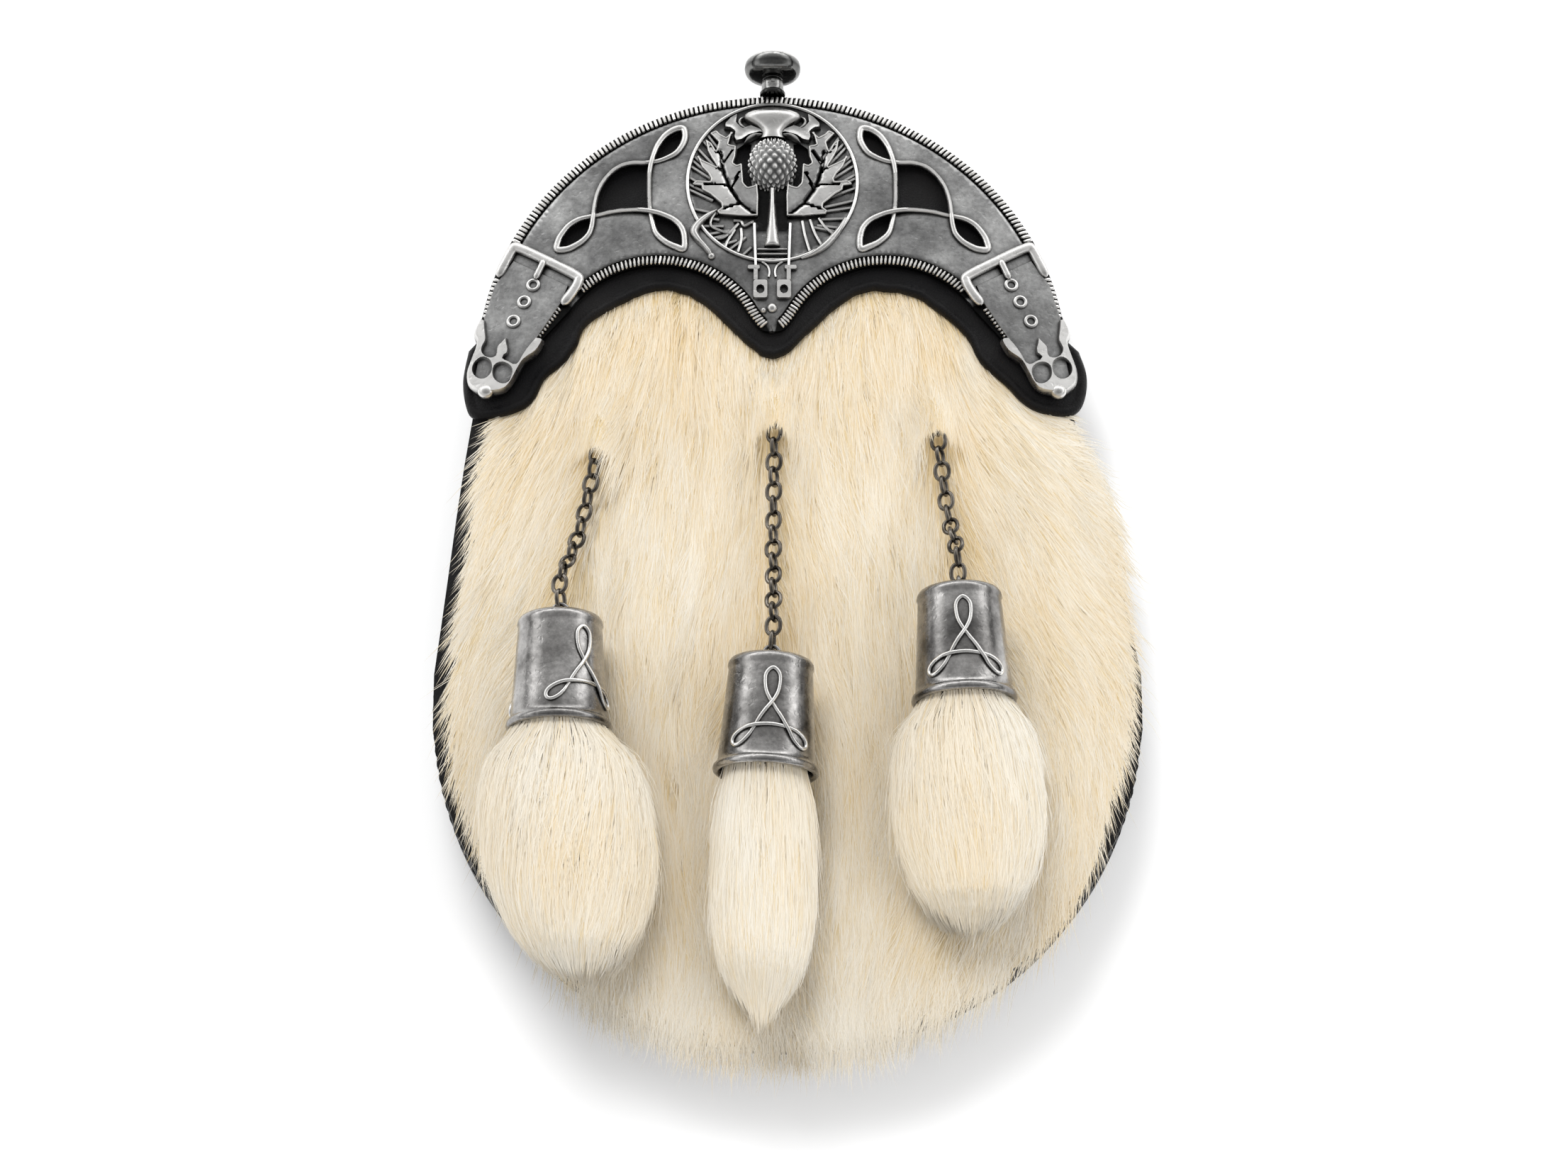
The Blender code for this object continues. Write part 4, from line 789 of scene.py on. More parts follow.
CANTLE_R = 75.0
ARCH = (29.5, 44.2, 26.2)  # x, y and radius of the arch below
KNOT = np.array([
    (-23.2, 110.9), (-25.3, 110.8), (-27.8, 109.0), (-29.7, 106.0), (-30.7, 103.1), (-31.4, 100.2),
    (-31.8, 97.0), (-31.8, 93.1), (-31.7, 88.8), (-31.3, 85.5), (-30.7, 82.5), (-29.7, 79.3),
    (-27.3, 76.8), (-24.8, 75.4), (-22.7, 74.7), (-22.4, 77.4), (-23.1, 80.6), (-24.9, 83.0),
    (-27.4, 84.5), (-30.4, 85.6), (-34.1, 86.3), (-37.7, 86.4), (-41.3, 86.1), (-44.4, 85.5),
    (-47.4, 85.0), (-49.8, 84.3), (-52.2, 82.7), (-54.0, 80.3), (-54.9, 78.3), (-55.2, 75.8),
    (-52.9, 75.6), (-50.8, 76.4), (-48.7, 77.8), (-47.0, 79.9), (-46.3, 82.4), (-46.0, 85.1),
    (-45.7, 88.6), (-45.0, 92.2), (-43.7, 95.3), (-41.6, 98.1), (-39.2, 99.9), (-36.2, 100.7),
    (-33.1, 100.7), (-29.7, 101.2), (-27.0, 102.2), (-24.9, 103.5), (-23.4, 105.8), (-22.7, 108.4),
])
KNOT_STEPS = 5  # points of the curve for each point of the table
# place along the strand, 1 where it passes over and -1 where it passes under
KNOT_CROSSINGS = ((4.6, 1), (9.2, -1), (19.3, 1), (23.6, -1), (35.0, 1), (43.0, -1))
END_OUTER = [
    (-74.4, 57.3), (-75.7, 54.4), (-75.9, 52.4), (-75.2, 50.4), (-76.6, 46.0), (-77.5, 42.5), (-77.1, 39.3),
    (-75.6, 37.4), (-73.8, 36.2), (-70.1, 35.9), (-67.3, 36.5), (-65.6, 38.4), (-64.3, 41.0), (-62.6, 44.0),
    (-59.5, 46.2), (-57.8, 49.2), (-58.5, 50.3),
]
END_INNER = [
    (-60.0, 50.6), (-61.9, 48.3), (-63.4, 46.0), (-64.8, 43.6), (-66.6, 44.6), (-68.0, 45.4), (-66.8, 46.2),
    (-66.6, 47.9), (-67.0, 49.5), (-67.4, 51.4), (-68.9, 50.0), (-70.1, 48.6), (-70.4, 46.2), (-72.4, 46.5),
    (-73.4, 48.3), (-72.4, 50.7), (-72.7, 53.6), (-73.0, 56.6),
]
END_HOLES = (
    [(-75.2, 44.3), (-75.5, 42.3), (-74.3, 40.7), (-72.6, 40.5), (-71.4, 42.2), (-71.8, 44.5), (-73.6, 45.6)],
    [(-70.0, 43.0), (-70.1, 40.5), (-68.8, 38.9), (-67.2, 38.6), (-66.3, 40.0), (-66.2, 42.1), (-68.2, 43.6)],
)
STRAP = [
    (-66.4, 73.4), (-51.8, 64.9), (-53.4, 60.2), (-59.2, 50.8), (-62.4, 45.4), (-65.2, 40.6), (-67.4, 37.8),
    (-73.6, 37.8), (-75.7, 40.6), (-74.8, 46.0), (-73.4, 50.0), (-73.6, 57.4), (-71.2, 66.4),
]
BUCKLE = [
    (-70.2, 68.8), (-68.2, 73.2), (-66.6, 76.4), (-65.0, 76.6), (-57.4, 72.2), (-50.2, 67.7), (-49.4, 65.9),
    (-51.0, 62.6), (-53.4, 59.4),
]
LEAF = [
    (-3.7, 84.0), (-8.4, 84.1), (-13.6, 84.7), (-14.2, 85.5), (-12.9, 86.6), (-13.1, 87.8), (-16.0, 90.6),
    (-18.0, 91.9), (-18.3, 93.2), (-20.7, 93.6), (-19.6, 94.7), (-16.0, 94.4), (-15.8, 95.2),
    (-16.6, 96.9), (-18.2, 98.8), (-19.4, 102.2), (-18.1, 100.9), (-14.2, 98.7), (-15.0, 100.3),
    (-16.7, 103.6), (-17.3, 107.2), (-15.8, 106.0), (-14.6, 103.6), (-13.9, 106.4), (-16.2, 109.1),
    (-14.6, 110.0), (-13.6, 108.8), (-12.0, 107.8), (-10.4, 109.5), (-11.0, 107.6), (-11.4, 105.6),
    (-9.4, 105.1), (-9.6, 101.9), (-10.2, 99.9), (-9.2, 99.2), (-7.9, 99.8), (-7.5, 93.9), (-6.4, 92.5),
    (-4.9, 92.9), (-3.9, 93.6), (-3.6, 90.0),
]
SHOULDER = [
    (-8.9, 115.6), (-10.8, 114.4), (-12.5, 112.4), (-12.6, 110.9), (-11.0, 110.6), (-9.9, 109.6),
    (-10.2, 108.0), (-9.6, 106.5), (-7.8, 106.9), (-6.1, 108.3), (-3.3, 109.2), (-1.8, 108.7),
    (-2.9, 110.5), (-5.6, 111.8), (-7.8, 110.9), (-9.2, 112.6), (-9.0, 114.2),
]
LEAF_VEIN = [
    (-3.8, 84.2), (-5.7, 85.8), (-8.4, 88.4), (-10.6, 91.9), (-12.2, 96.1), (-13.0, 99.4), (-13.4, 103.6),
]
LEAF_SIDE_VEINS = (
    [(-11.2, 93.2), (-17.2, 93.8)], [(-8.0, 88.0), (-12.6, 86.2)], [(-13.0, 99.6), (-10.4, 103.6)],
    [(-10.6, 92.0), (-8.6, 97.2)], [(-12.6, 97.4), (-16.6, 100.4)], [(-13.3, 102.4), (-15.9, 105.2)],
)


def cantle_plate_outline():
    """The plate's outline, anticlockwise from its cusp."""
    arch = arc(*ARCH, 149, 32, 48)
    cusp = curve([(0.0, 51.2), (2.0, 51.3), (3.7, 52.5), (5.6, 55.2), tuple(arch[0])], 4)[:-1]
    end = mirrored(END_OUTER)
    start = math.degrees(math.atan2(end[-1][1] - ARC_Y, end[-1][0]))
    right = np.vstack([cusp, arch, end, arc(0.0, ARC_Y, CANTLE_R, start + 1, 90, 100)])
    return np.vstack([right[:-1], mirrored(right)[:-1]])


def gap_round(place, at, count):
    """How far places lie from one place, counted round a closed line."""
    return np.abs((place - at + count / 2) % count - count / 2)


def knot_line():
    """The left knot's strand, with its half width and height along it."""
    line = curve(KNOT, KNOT_STEPS, True)
    place = np.arange(len(line)) / KNOT_STEPS
    bend = np.zeros(len(line))
    for tip in (0.0, 14.3, 29.3):
        bend = np.maximum(bend, bell(gap_round(place, tip, len(KNOT)), 4.2))
    rise = np.full(len(line), 0.35)
    for at, over in KNOT_CROSSINGS:
        rise += over * 0.42 * bell(gap_round(place, at, len(KNOT)), 1.3)
    return line, 0.58 + 0.28 * bend, rise


def knot_holes():
    """The pierced places of the left knot, out to the strands' middles."""
    line, _, _ = knot_line()

    def part(first, last):
        return line[np.arange(int(first * KNOT_STEPS), int(last * KNOT_STEPS) + 1) % len(line)]

    loops = [part(43.4, 52.6), part(9.6, 19.0), part(24.2, 34.8)]
    loops.append(np.vstack([part(5.2, 9.0), part(19.6, 23.4), part(35.4, 42.8)]))
    loops = [resample(loop, pitch=0.8, closed=True) for loop in loops]
    return [offset(loop, 0.12 * turning(loop)) for loop in loops]


MEDALLION = (0.0, 94.5, 21.9, 23.7)  # centre, half width, half height
BULB_GAP = np.array([
    (-9.2, 105.0), (-7.2, 106.6), (-5.4, 106.4), (-6.0, 99.2), (-5.2, 93.6), (-6.5, 92.5), (-7.6, 93.9),
    (-8.0, 99.6), (-9.2, 99.0), (-10.2, 99.8), (-9.6, 101.9),
])


def ellipse(x, y, rx, ry, count=96):
    """Points on an ellipse, anticlockwise."""
    turn = full_turn(count)
    return np.column_stack([x + rx * np.cos(turn), y + ry * np.sin(turn)])


def ribs(mesh, line, pitch):
    """A milled border: short rounded bars across a line, on its left side."""
    length, half, high, slant, foot = 2.5, 0.36 * pitch, 0.75, 0.1, 0.35
    line = resample(line, pitch=pitch)
    along = unit(np.gradient(line, axis=0))
    across = np.column_stack([-along[:, 1], along[:, 0]]) + along * slant
    stations = np.array((0.0, 0.1, 0.5, 0.9, 1.0)) * length + 0.12
    rises = np.array((0.15, 0.85, 1.0, 0.85, 0.15))
    turn = np.linspace(0, math.pi, 6)
    uneven = 1 + 0.1 * rng.normal(0, 1, len(line))
    places = (
        line[:, None, None]
        + across[:, None, None] * stations[:, None, None]
        + along[:, None, None] * (np.cos(turn) * half)[:, None] * (0.4 + 0.6 * rises)[:, None, None]
    )
    rise = np.sin(turn) ** 0.7 * (rises * high)[:, None] * uneven[:, None, None]
    verts = np.concatenate([places, (front_at(places, CANTLE_TOP) - foot + rise)[..., None]], -1)
    single = ring_faces(len(rises), len(turn), closed_sides=False)
    starts = np.arange(len(line)) * len(rises) * len(turn)
    mesh.add(verts, [(single + starts[:, None, None]).reshape(-1, 4)], 0.95)


def beside_band(places, band):
    """Distance from the nearest milled border."""
    return np.min([distance(places, line, False) for line in band], 0)


def in_medallion(places):
    """0 at the medallion's middle, 1 on its ring."""
    x, y, rx, ry = MEDALLION
    return np.hypot((places[:, 0] - x) / rx, (places[:, 1] - y) / ry)


def plate_tone(places, band):
    """Dark under the milled border, beside the stem and in the medallion's ground."""
    beside = (np.abs(places[:, 0]) < 4.6) & (places[:, 1] > 79.0) & (places[:, 1] < 94.0)
    dark = (beside_band(places, band) < 2.8) | beside
    return np.where(dark, 0.03, np.where(in_medallion(places) < 0.985, 0.3, 0.5))


def plate_height(places, depth, band):
    """Height above the plate's face: sunk under the milled border and inside the medallion."""
    in_band = beside_band(places, band)
    rise = -0.45 * (in_band < 2.55) - 0.6 * bell(in_band - 2.75, 0.24)
    rise -= 0.75 * smooth_step((1.0 - in_medallion(places)) / 0.05)
    return rise - 0.25 * (depth < 0.05)


def make_boss(mesh, stations, tone, sides=12):
    """A rounded raised shape along a line: x, y, half width, height."""
    stations = np.asarray(stations, float)
    path = stations[:, :2]
    along = unit(np.gradient(path, axis=0))
    across = np.column_stack([along[:, 1], -along[:, 0]])
    turn = np.linspace(0, math.pi, sides)
    places = path[:, None] + across[:, None] * (np.cos(turn)[None, :, None] * stations[:, 2][:, None, None])
    high = front_at(path, CANTLE_TOP - 0.4)[:, None] + np.sin(turn) * stations[:, 3][:, None]
    verts = np.concatenate([places, high[..., None]], -1)
    mesh.add(verts, [ring_faces(len(path), sides, closed_sides=False)[:, ::-1]], tone)


def raised(mesh, loop, rise, pitch, bevel, tone, holes=(), rim=0.0, veins=(), base=CANTLE_TOP):
    """A flat raised shape with bevelled edges, and grooves along its veins."""
    loops = [np.asarray(loop, float)] + [np.asarray(hole, float) for hole in holes]
    lines = []
    for k, one in enumerate(loops):
        dense = resample(one, pitch=min(pitch, 0.6), closed=True)
        lines.append((offset(dense, bevel * turning(one) * (-1 if k else 1)), True))
    lines += [(resample(vein, pitch=0.6), False) for vein, _ in veins]

    def upper(places, depth):
        high = rise * smooth_step(depth / bevel) + rim * bell(depth - bevel * 1.2, 0.3)
        for vein, width in veins:
            high -= (0.65 * rise) * bell(distance(places, vein, False), width) * smooth_step(depth / bevel)
        return front_at(places, base) + high

    sheet(mesh, loops, upper, lambda p: front_at(p, base) - 0.9, lines, pitch, margin=bevel * 1.3, tone=tone)


def on_cantle(line, rise):
    """A line of x and y laid at a height above the cantle's face."""
    line = np.asarray(line, float)
    return np.column_stack([line, front_at(line, CANTLE_TOP + rise)])


def make_bulb(mesh):
    """The thistle's bulb: an oval with rows of scales set crosswise."""
    rows, sides = 64, 110
    level = np.linspace(-math.pi / 2 * 0.97, math.pi / 2 * 0.93, rows)
    turn = np.linspace(-0.05, math.pi + 0.05, sides)
    v, u = np.meshgrid(level, turn, indexing="ij")
    first, second = 15.5 * v + 15.0 * u, 15.5 * v - 15.0 * u
    scale = (0.5 + 0.5 * np.cos(first)) * (0.5 + 0.5 * np.cos(second))
    bump = 1.0 + 0.1 * (scale ** 0.8) - 0.03
    x = 6.15 * np.cos(v) * np.cos(u) * bump
    y = 99.4 + 7.5 * np.sin(v) * bump
    z = 3.6 * np.cos(v) * np.sin(u) * bump
    verts = np.stack([x, y, front(0.0, 99.4) + CANTLE_TOP - 0.5 + z], -1)
    mesh.add(verts, [ring_faces(rows, sides, closed_sides=False)], 0.25 + 0.72 * scale.ravel() ** 0.7)


def make_leaf(mesh, flip):
    """A spiky leaf with a raised edge, darker in its veins and with painted shade on its inner half."""
    shape = np.array(LEAF) * (flip, 1)
    veins = [(np.array(LEAF_VEIN) * (flip, 1), 0.42)]
    veins += [(np.array(vein) * (flip, 1), 0.15) for vein in LEAF_SIDE_VEINS]
    middle = np.array(LEAF_VEIN)

    def shade(places, depth):
        inner = np.abs(places[:, 0]) < -np.interp(places[:, 1], middle[:, 1], middle[:, 0])
        grooves = [distance(places, vein, False) / width for vein, width in veins]
        # painted shade: the inner half is darker, as the shaded side of a leaf folded along its vein
        tones = np.where(inner, 0.58, 0.74) - 0.4 * (np.min(grooves, 0) < 0.8)
        return np.where(grooves[0] < 0.7, 0.08, tones)

    raised(mesh, shape, rise=1.5, pitch=0.7, bevel=0.28, tone=shade, veins=veins, base=CANTLE_TOP - 0.7)
    edge = resample(shape, pitch=0.45, closed=True)
    edge = offset(edge, 0.22 * turning(edge))
    tube(mesh, on_cantle(edge, 0.72), 0.27, 0.3, sides=6, closed=True, tone=0.97)


def make_thistle(mesh):
    """Leaves, bulb, crown and stem, with the rails, bars and tabs below them."""
    make_leaf(mesh, 1)
    make_leaf(mesh, -1)
    make_bulb(mesh)
    crown = [(0.0, 107.4, 3.6, 2.6), (0.0, 108.4, 3.0, 2.8), (0.0, 109.6, 3.0, 3.0), (0.0, 110.8, 3.9, 3.3),
             (0.0, 112.0, 5.4, 3.7), (0.0, 113.1, 6.9, 4.0), (0.0, 113.9, 7.5, 4.1), (0.0, 114.8, 7.4, 3.9),
             (0.0, 115.6, 6.5, 3.2), (0.0, 116.2, 4.6, 2.1), (0.0, 116.6, 1.6, 0.8)]
    make_boss(mesh, curve(crown, 3), tone=0.8, sides=24)
    stem = [(0.0, 92.0, 0.75, 1.9), (0.0, 87.0, 0.9, 2.0), (0.0, 82.0, 1.3, 2.0), (0.0, 77.0, 1.9, 2.0),
            (0.0, 75.6, 2.1, 1.8), (0.0, 75.2, 2.0, 0.6)]
    make_boss(mesh, curve(stem, 4), tone=0.8)
    for flip in (-1, 1):
        petal = np.array([(-7.4, 114.3, 0.15, 0.9), (-8.4, 113.3, 0.5, 1.5), (-8.5, 112.2, 0.6, 1.5),
                          (-7.7, 111.2, 0.5, 1.4), (-6.4, 110.5, 0.15, 0.9)]) * (flip, 1, 1, 1)
        make_boss(mesh, curve(petal, 4), tone=0.75, sides=10)
        sepal = np.array([(-2.8, 108.6, 0.3, 1.6), (-4.6, 108.4, 0.7, 1.9), (-6.2, 107.4, 0.7, 1.7),
                          (-7.2, 106.2, 0.2, 1.1)]) * (flip, 1, 1, 1)
        make_boss(mesh, curve(sepal, 4), tone=0.7, sides=10)
        shoulder = np.array(SHOULDER) * (flip, 1)
        raised(mesh, shoulder, rise=1.3, pitch=0.8, bevel=0.35, tone=0.66, rim=0.25, base=CANTLE_TOP - 0.6)
        rail = on_cantle(resample(np.array([(-4.6, 81.8), (-4.2, 69.2)]) * (flip, 1), pitch=0.8), 0.3)
        tube(mesh, rail, 0.42, 0.6, tone=0.85)
        brace = curve(np.array([(-2.6, 70.6), (-1.2, 69.4), (-0.7, 67.8), (-0.9, 66.2)]) * (flip, 1), 6)
        tube(mesh, on_cantle(brace, 0.2), 0.3, 0.45, tone=0.8)
        tab = rounded_loop(2.0, 59.8, 65.4, 0.8, 0.8, flip * 3.0)
        eyelet = ellipse(flip * 3.0, 62.5, 0.85, 1.1, 16)[::-1]
        raised(mesh, tab, rise=1.15, pitch=0.7, bevel=0.25, tone=0.8, holes=[eyelet])
        # neck and head of the tab: half width, lower and upper edge, corner radius and place across
        for half, low, high, corner, x in ((0.7, 65.0, 69.3, 0.3, 4.2), (1.7, 68.2, 69.7, 0.5, 4.7)):
            loop = rounded_loop(half, low, high, corner, corner, flip * x)
            raised(mesh, loop, rise=0.95, pitch=0.6, bevel=0.2, tone=0.78)
    for y in (74.3, 72.9, 71.4):
        bar = on_cantle(resample([(-3.8, y), (3.8, y)], pitch=0.8), 0.1)
        tube(mesh, bar, 0.32, 0.5, tone=0.8)
    for x, y, radius in ((0.0, 57.4, 1.35), (-2.2, 56.6, 0.8)):
        ball(mesh, (x, y, front(x, y) + CANTLE_TOP), (radius, radius, 1.3))


TWIGS = (
    [(-14.1, 77.6), (-12.2, 78.1), (-9.9, 80.5), (-8.7, 82.0)],
    [(-9.9, 82.9), (-8.0, 82.7), (-7.2, 81.4), (-4.9, 82.7)],
    [(-9.6, 80.2), (-11.4, 77.0), (-12.0, 75.2)], [(-8.0, 80.5), (-7.9, 77.4), (-8.8, 73.6)],
    [(7.7, 82.7), (8.4, 78.4), (9.6, 73.9)], [(9.7, 83.1), (10.9, 79.2), (12.7, 75.6)],
    [(12.0, 83.6), (13.4, 81.2), (15.4, 79.2)],
)


def make_rays(mesh):
    """Fine bars in the medallion's ground, between the leaves and the ring."""
    x, y, rx, ry = MEDALLION
    # first and last angle in degrees, and number of bars
    for start, end, count in ((196, 252, 8), (316, 350, 5), (140, 188, 9), (-6, 40, 9)):
        for k in range(count):
            angle = math.radians(start + (end - start) * (k + 0.5) / count + rng.normal(0, 1.2))
            inner = 0.60 + 0.1 * rng.random()
            line = np.array([
                (x + rx * inner * math.cos(angle), y - 4 + ry * inner * math.sin(angle)),
                (x + rx * 0.98 * math.cos(angle), y + ry * 0.98 * math.sin(angle)),
            ])
            tube(mesh, on_cantle(resample(line, pitch=1.5), -0.5), 0.52, 0.5, sides=6, tone=0.72)
    for twig in TWIGS:
        tube(mesh, on_cantle(curve(twig, 5), -0.35), 0.42, 0.7, tone=0.78)


def make_scroll(mesh):
    """The small scroll that crosses the ring at its lower left."""
    scroll = [(-14.2, 86.0, 0.3, 1.2), (-16.6, 84.2, 0.8, 1.9), (-18.8, 82.0, 1.1, 2.3),
              (-20.0, 79.6, 1.25, 2.4), (-19.0, 77.4, 1.0, 2.2), (-17.4, 75.4, 0.8, 2.0),
              (-16.1, 73.6, 0.75, 1.9), (-15.5, 72.2, 0.5, 1.4)]
    make_boss(mesh, curve(scroll, 4), tone=0.8)
    ball(mesh, (-15.5, 72.4, front(-15.5, 72.4) + CANTLE_TOP), (1.0, 1.0, 1.2))
    hook = curve([(-14.6, 85.2), (-15.7, 83.2), (-15.6, 81.3), (-12.9, 79.7), (-10.6, 79.0)], 6)
    tube(mesh, on_cantle(hook, -0.1), 0.42, 0.7, tone=0.75)
    foot = [(7.4, 71.7, 0.4, 1.1), (10.5, 73.2, 0.8, 1.5), (13.8, 75.8, 1.1, 1.7), (17.0, 80.0, 0.9, 1.5),
            (18.8, 83.6, 0.5, 1.2)]
    make_boss(mesh, curve(foot, 5), tone=0.78)


def make_ends(mesh):
    """Straps with buckle, tongue and three rings, and cast ends with a stud."""
    for flip in (1, -1):
        def turned(shape):
            shape = np.asarray(shape, float) * (flip, 1)
            return shape[::flip]

        chape = np.vstack([curve(END_OUTER, 3), curve(END_INNER, 3)])
        holes = [turned(curve(hole, 3, True)) for hole in END_HOLES]
        raised(mesh, turned(chape), rise=1.7, pitch=0.8, bevel=0.55, tone=0.85, holes=holes)
        raised(mesh, turned(STRAP), rise=0.55, pitch=1.6, bevel=0.3, tone=0.52)
        buckle = curve(np.array(BUCKLE) * (flip, 1), 6)
        shares = round_ends(len(buckle), 4)
        tube(mesh, on_cantle(buckle, 0.7), 1.35 * shares, 1.15 * shares, sides=14, tone=0.88)
        tongue = resample(np.array([(-58.3, 72.4), (-60.5, 67.1)]) * (flip, 1), pitch=0.5)
        shares = round_ends(len(tongue), 2)
        tube(mesh, on_cantle(tongue, 1.3), 0.85 * shares, 0.75 * shares, sides=12, tone=0.88)
        for x, y in ((-61.0, 65.5), (-63.2, 60.8), (-65.8, 55.5)):
            ring = ellipse(x * flip, y, 1.4, 1.4, 28)
            tube(mesh, on_cantle(ring, 0.7), 0.5, 0.55, closed=True, tone=0.74)
        ball(mesh, (-72.3 * flip, 36.6, front(72.3, 36.6) + CANTLE_TOP + 0.4), (2.2, 1.9, 1.9), tone=0.88)


def milled_lines():
    """Middle lines of the milled borders, and the bars' pitch along each."""
    side = arc(0.0, ARC_Y, CANTLE_R, 9.5, 17.5, 30)
    arch = arc(*ARCH, 46, 149, 120)
    lower = np.vstack([arch, curve([tuple(arch[-1]), (5.6, 55.2), (3.7, 52.5), (3.1, 52.0)], 6)])[::-1]
    low_side = resample([(53.6, 58.0), (56.2, 54.2), (58.4, 50.9)], pitch=1.0)
    band, pitches = [arc(0.0, ARC_Y, CANTLE_R, 26.8, 153.2, 300)], [1.27]
    for line, pitch in ((side, 1.27), (lower, 1.05), (low_side, 1.05)):
        band += [line, mirrored(line)]
        pitches += [pitch, pitch]
    return band, pitches


def make_cantle():
    """The pierced plate with its milled borders, and all the relief on it."""
    mesh = Mesh()
    band, pitches = milled_lines()
    left_holes = knot_holes() + [BULB_GAP]
    holes = left_holes + [mirrored(hole) for hole in left_holes]
    lines = []
    for line in band:
        lines += [(offset(line, amount, False), False) for amount in (2.4, 2.55, 2.75, 3.0, 3.3)]
    x, y, rx, ry = MEDALLION
    lines += [(ellipse(x, y, rx * share, ry * share), True) for share in (1.0, 0.975, 0.95)]

    def upper(places, depth):
        return front_at(places, CANTLE_TOP) + plate_height(places, depth, band)

    def shade(places, depth):
        return plate_tone(places, band)

    loops = [cantle_plate_outline()] + holes
    sheet(mesh, loops, upper, lambda p: front_at(p, CANTLE_LOW), lines, pitch=1.5, margin=0.5, tone=shade)
    for line, pitch in zip(band, pitches):
        ribs(mesh, line, pitch)
    line, half, rise = knot_line()
    for flip in (1, -1):
        tube(mesh, on_cantle(line * (flip, 1), rise), half, 0.72, sides=10, closed=True, tone=0.86)
    tube(mesh, on_cantle(ellipse(*MEDALLION, 140), 0.15), 0.5, 0.6, closed=True, tone=0.82)
    make_rays(mesh)
    make_scroll(mesh)
    make_thistle(mesh)
    make_ends(mesh)
    mesh.make("cantle_casting", PEWTER, ("cantle",), sharp=40)


def make_knob():
    """The turned finial, with painted shade in its grooves and round its widest part and a painted highlight
    on its shoulder.
    """
    sides, base, axis = 72, (0.0, 121.4, 25.6), np.array((0.0, 1.0, 0.0))
    profile = curve([
        (0.5, -0.2), (3.0, -0.1), (3.3, 0.2), (3.3, 0.8), (3.0, 1.1), (2.85, 3.2), (2.8, 3.9), (2.55, 4.2),
        (2.4, 4.5), (2.6, 4.8), (4.2, 4.9), (5.9, 5.3), (6.9, 6.1), (7.3, 7.2), (7.35, 8.0), (7.1, 9.2),
        (6.3, 10.2), (4.9, 10.8), (3.0, 11.1), (1.0, 11.2), (0.2, 11.2),
    ], 3)
    # painted reflections: tones that are dark under the head and round its widest part, and bright on the
    # shoulder near its top
    tone = np.interp(profile[:, 1], (0.6, 1.2, 3.6, 4.1, 4.9, 5.6, 7.4, 8.6, 9.4, 10.3, 11.0),
                     (0.1, 0.5, 0.55, 0.12, 0.3, 0.4, 0.12, 0.3, 0.8, 0.8, 0.5))
    mesh = Mesh()
    lathe(mesh, profile, base, axis, sides, np.repeat(tone, sides))
    mesh.make("knob_turned", KNOB_METAL, ("finial_knob",))


# ---------------------------------------------------------------- chains and cones

LINK_HALF_LENGTH, LINK_HALF_WIDTH, LINK_WIRE, LINK_PITCH = 2.3, 1.78, 0.5, 3.9
CONE_FLOAT, LOOP_OUT, LINK_TO_LOOP, CONE_LENGTH, CONE_RIM = 0.8, 1.5, 3.05, 28.6, 12.5
LOOP_RADIUS, LOOP_WIRE = 1.9, 0.5
HAIR_FLOAT, HAIR_NECK, HAIR_FLATNESS, HAIR_SAG = 1.0, 10.6, 0.35, 12.0


def tassel_frame(row):
    """First link's middle, cone's shoulder and cone's axis, as in the solids."""
    cone_top = np.array((*row.cone, fur_ceiling(*row.cone)[0] + CONE_FLOAT + CONE_RIM))
    rim_middle = np.array((*row.rim, fur_ceiling(*row.rim)[0] + CONE_FLOAT + CONE_RIM))
    first = np.array((*row.top, fur_ceiling(*row.top)[0] + LINK_HALF_WIDTH + LINK_WIRE + SLIT))
    return first, cone_top, unit(rim_middle - cone_top)


def chain_route(row):
    """Middles of the links, from the coat to the cone's loop."""
    first, cone_top, axis = tassel_frame(row)
    last = cone_top - axis * (LOOP_OUT + LINK_TO_LOOP)
    bend = first + (last - first) * 0.55
    bend[2] = fur_ceiling(bend[0], bend[1])[0] + LINK_HALF_WIDTH + LINK_WIRE + 1.0
    before = last - axis * LINK_PITCH * 1.5
    route = curve([first, bend, before, last], 16)
    length = np.linalg.norm(np.diff(route, axis=0), axis=1).sum()
    return resample(route, count=int(round(length / LINK_PITCH)) + 1)


def make_chain(name, row):
    """Oval links of round wire that pass through each other."""
    route = chain_route(row)
    mesh = Mesh()
    turn = full_turn(20)
    wire = 0.53
    for k, centre in enumerate(route):
        along = unit(route[min(k + 1, len(route) - 1)] - route[max(k - 1, 0)])
        side, face = axes_for(along)
        roll = 0.38 + 0.1 * math.sin(1.9 * k + len(name)) + rng.normal(0, 0.05)
        across = side if k % 2 else face
        across = across * math.cos(roll) + np.cross(along, across) * math.sin(roll)
        stretch = np.sign(np.cos(turn)) * np.abs(np.cos(turn)) ** 0.8 * LINK_HALF_LENGTH
        path = centre + along * stretch[:, None] + across * (np.sin(turn) * LINK_HALF_WIDTH)[:, None]
        tube(mesh, path, wire, wire, sides=10, closed=True, up=np.cross(along, across))
    mesh.make(f"links_{name}", GUNMETAL, (f"chain_{name}",))


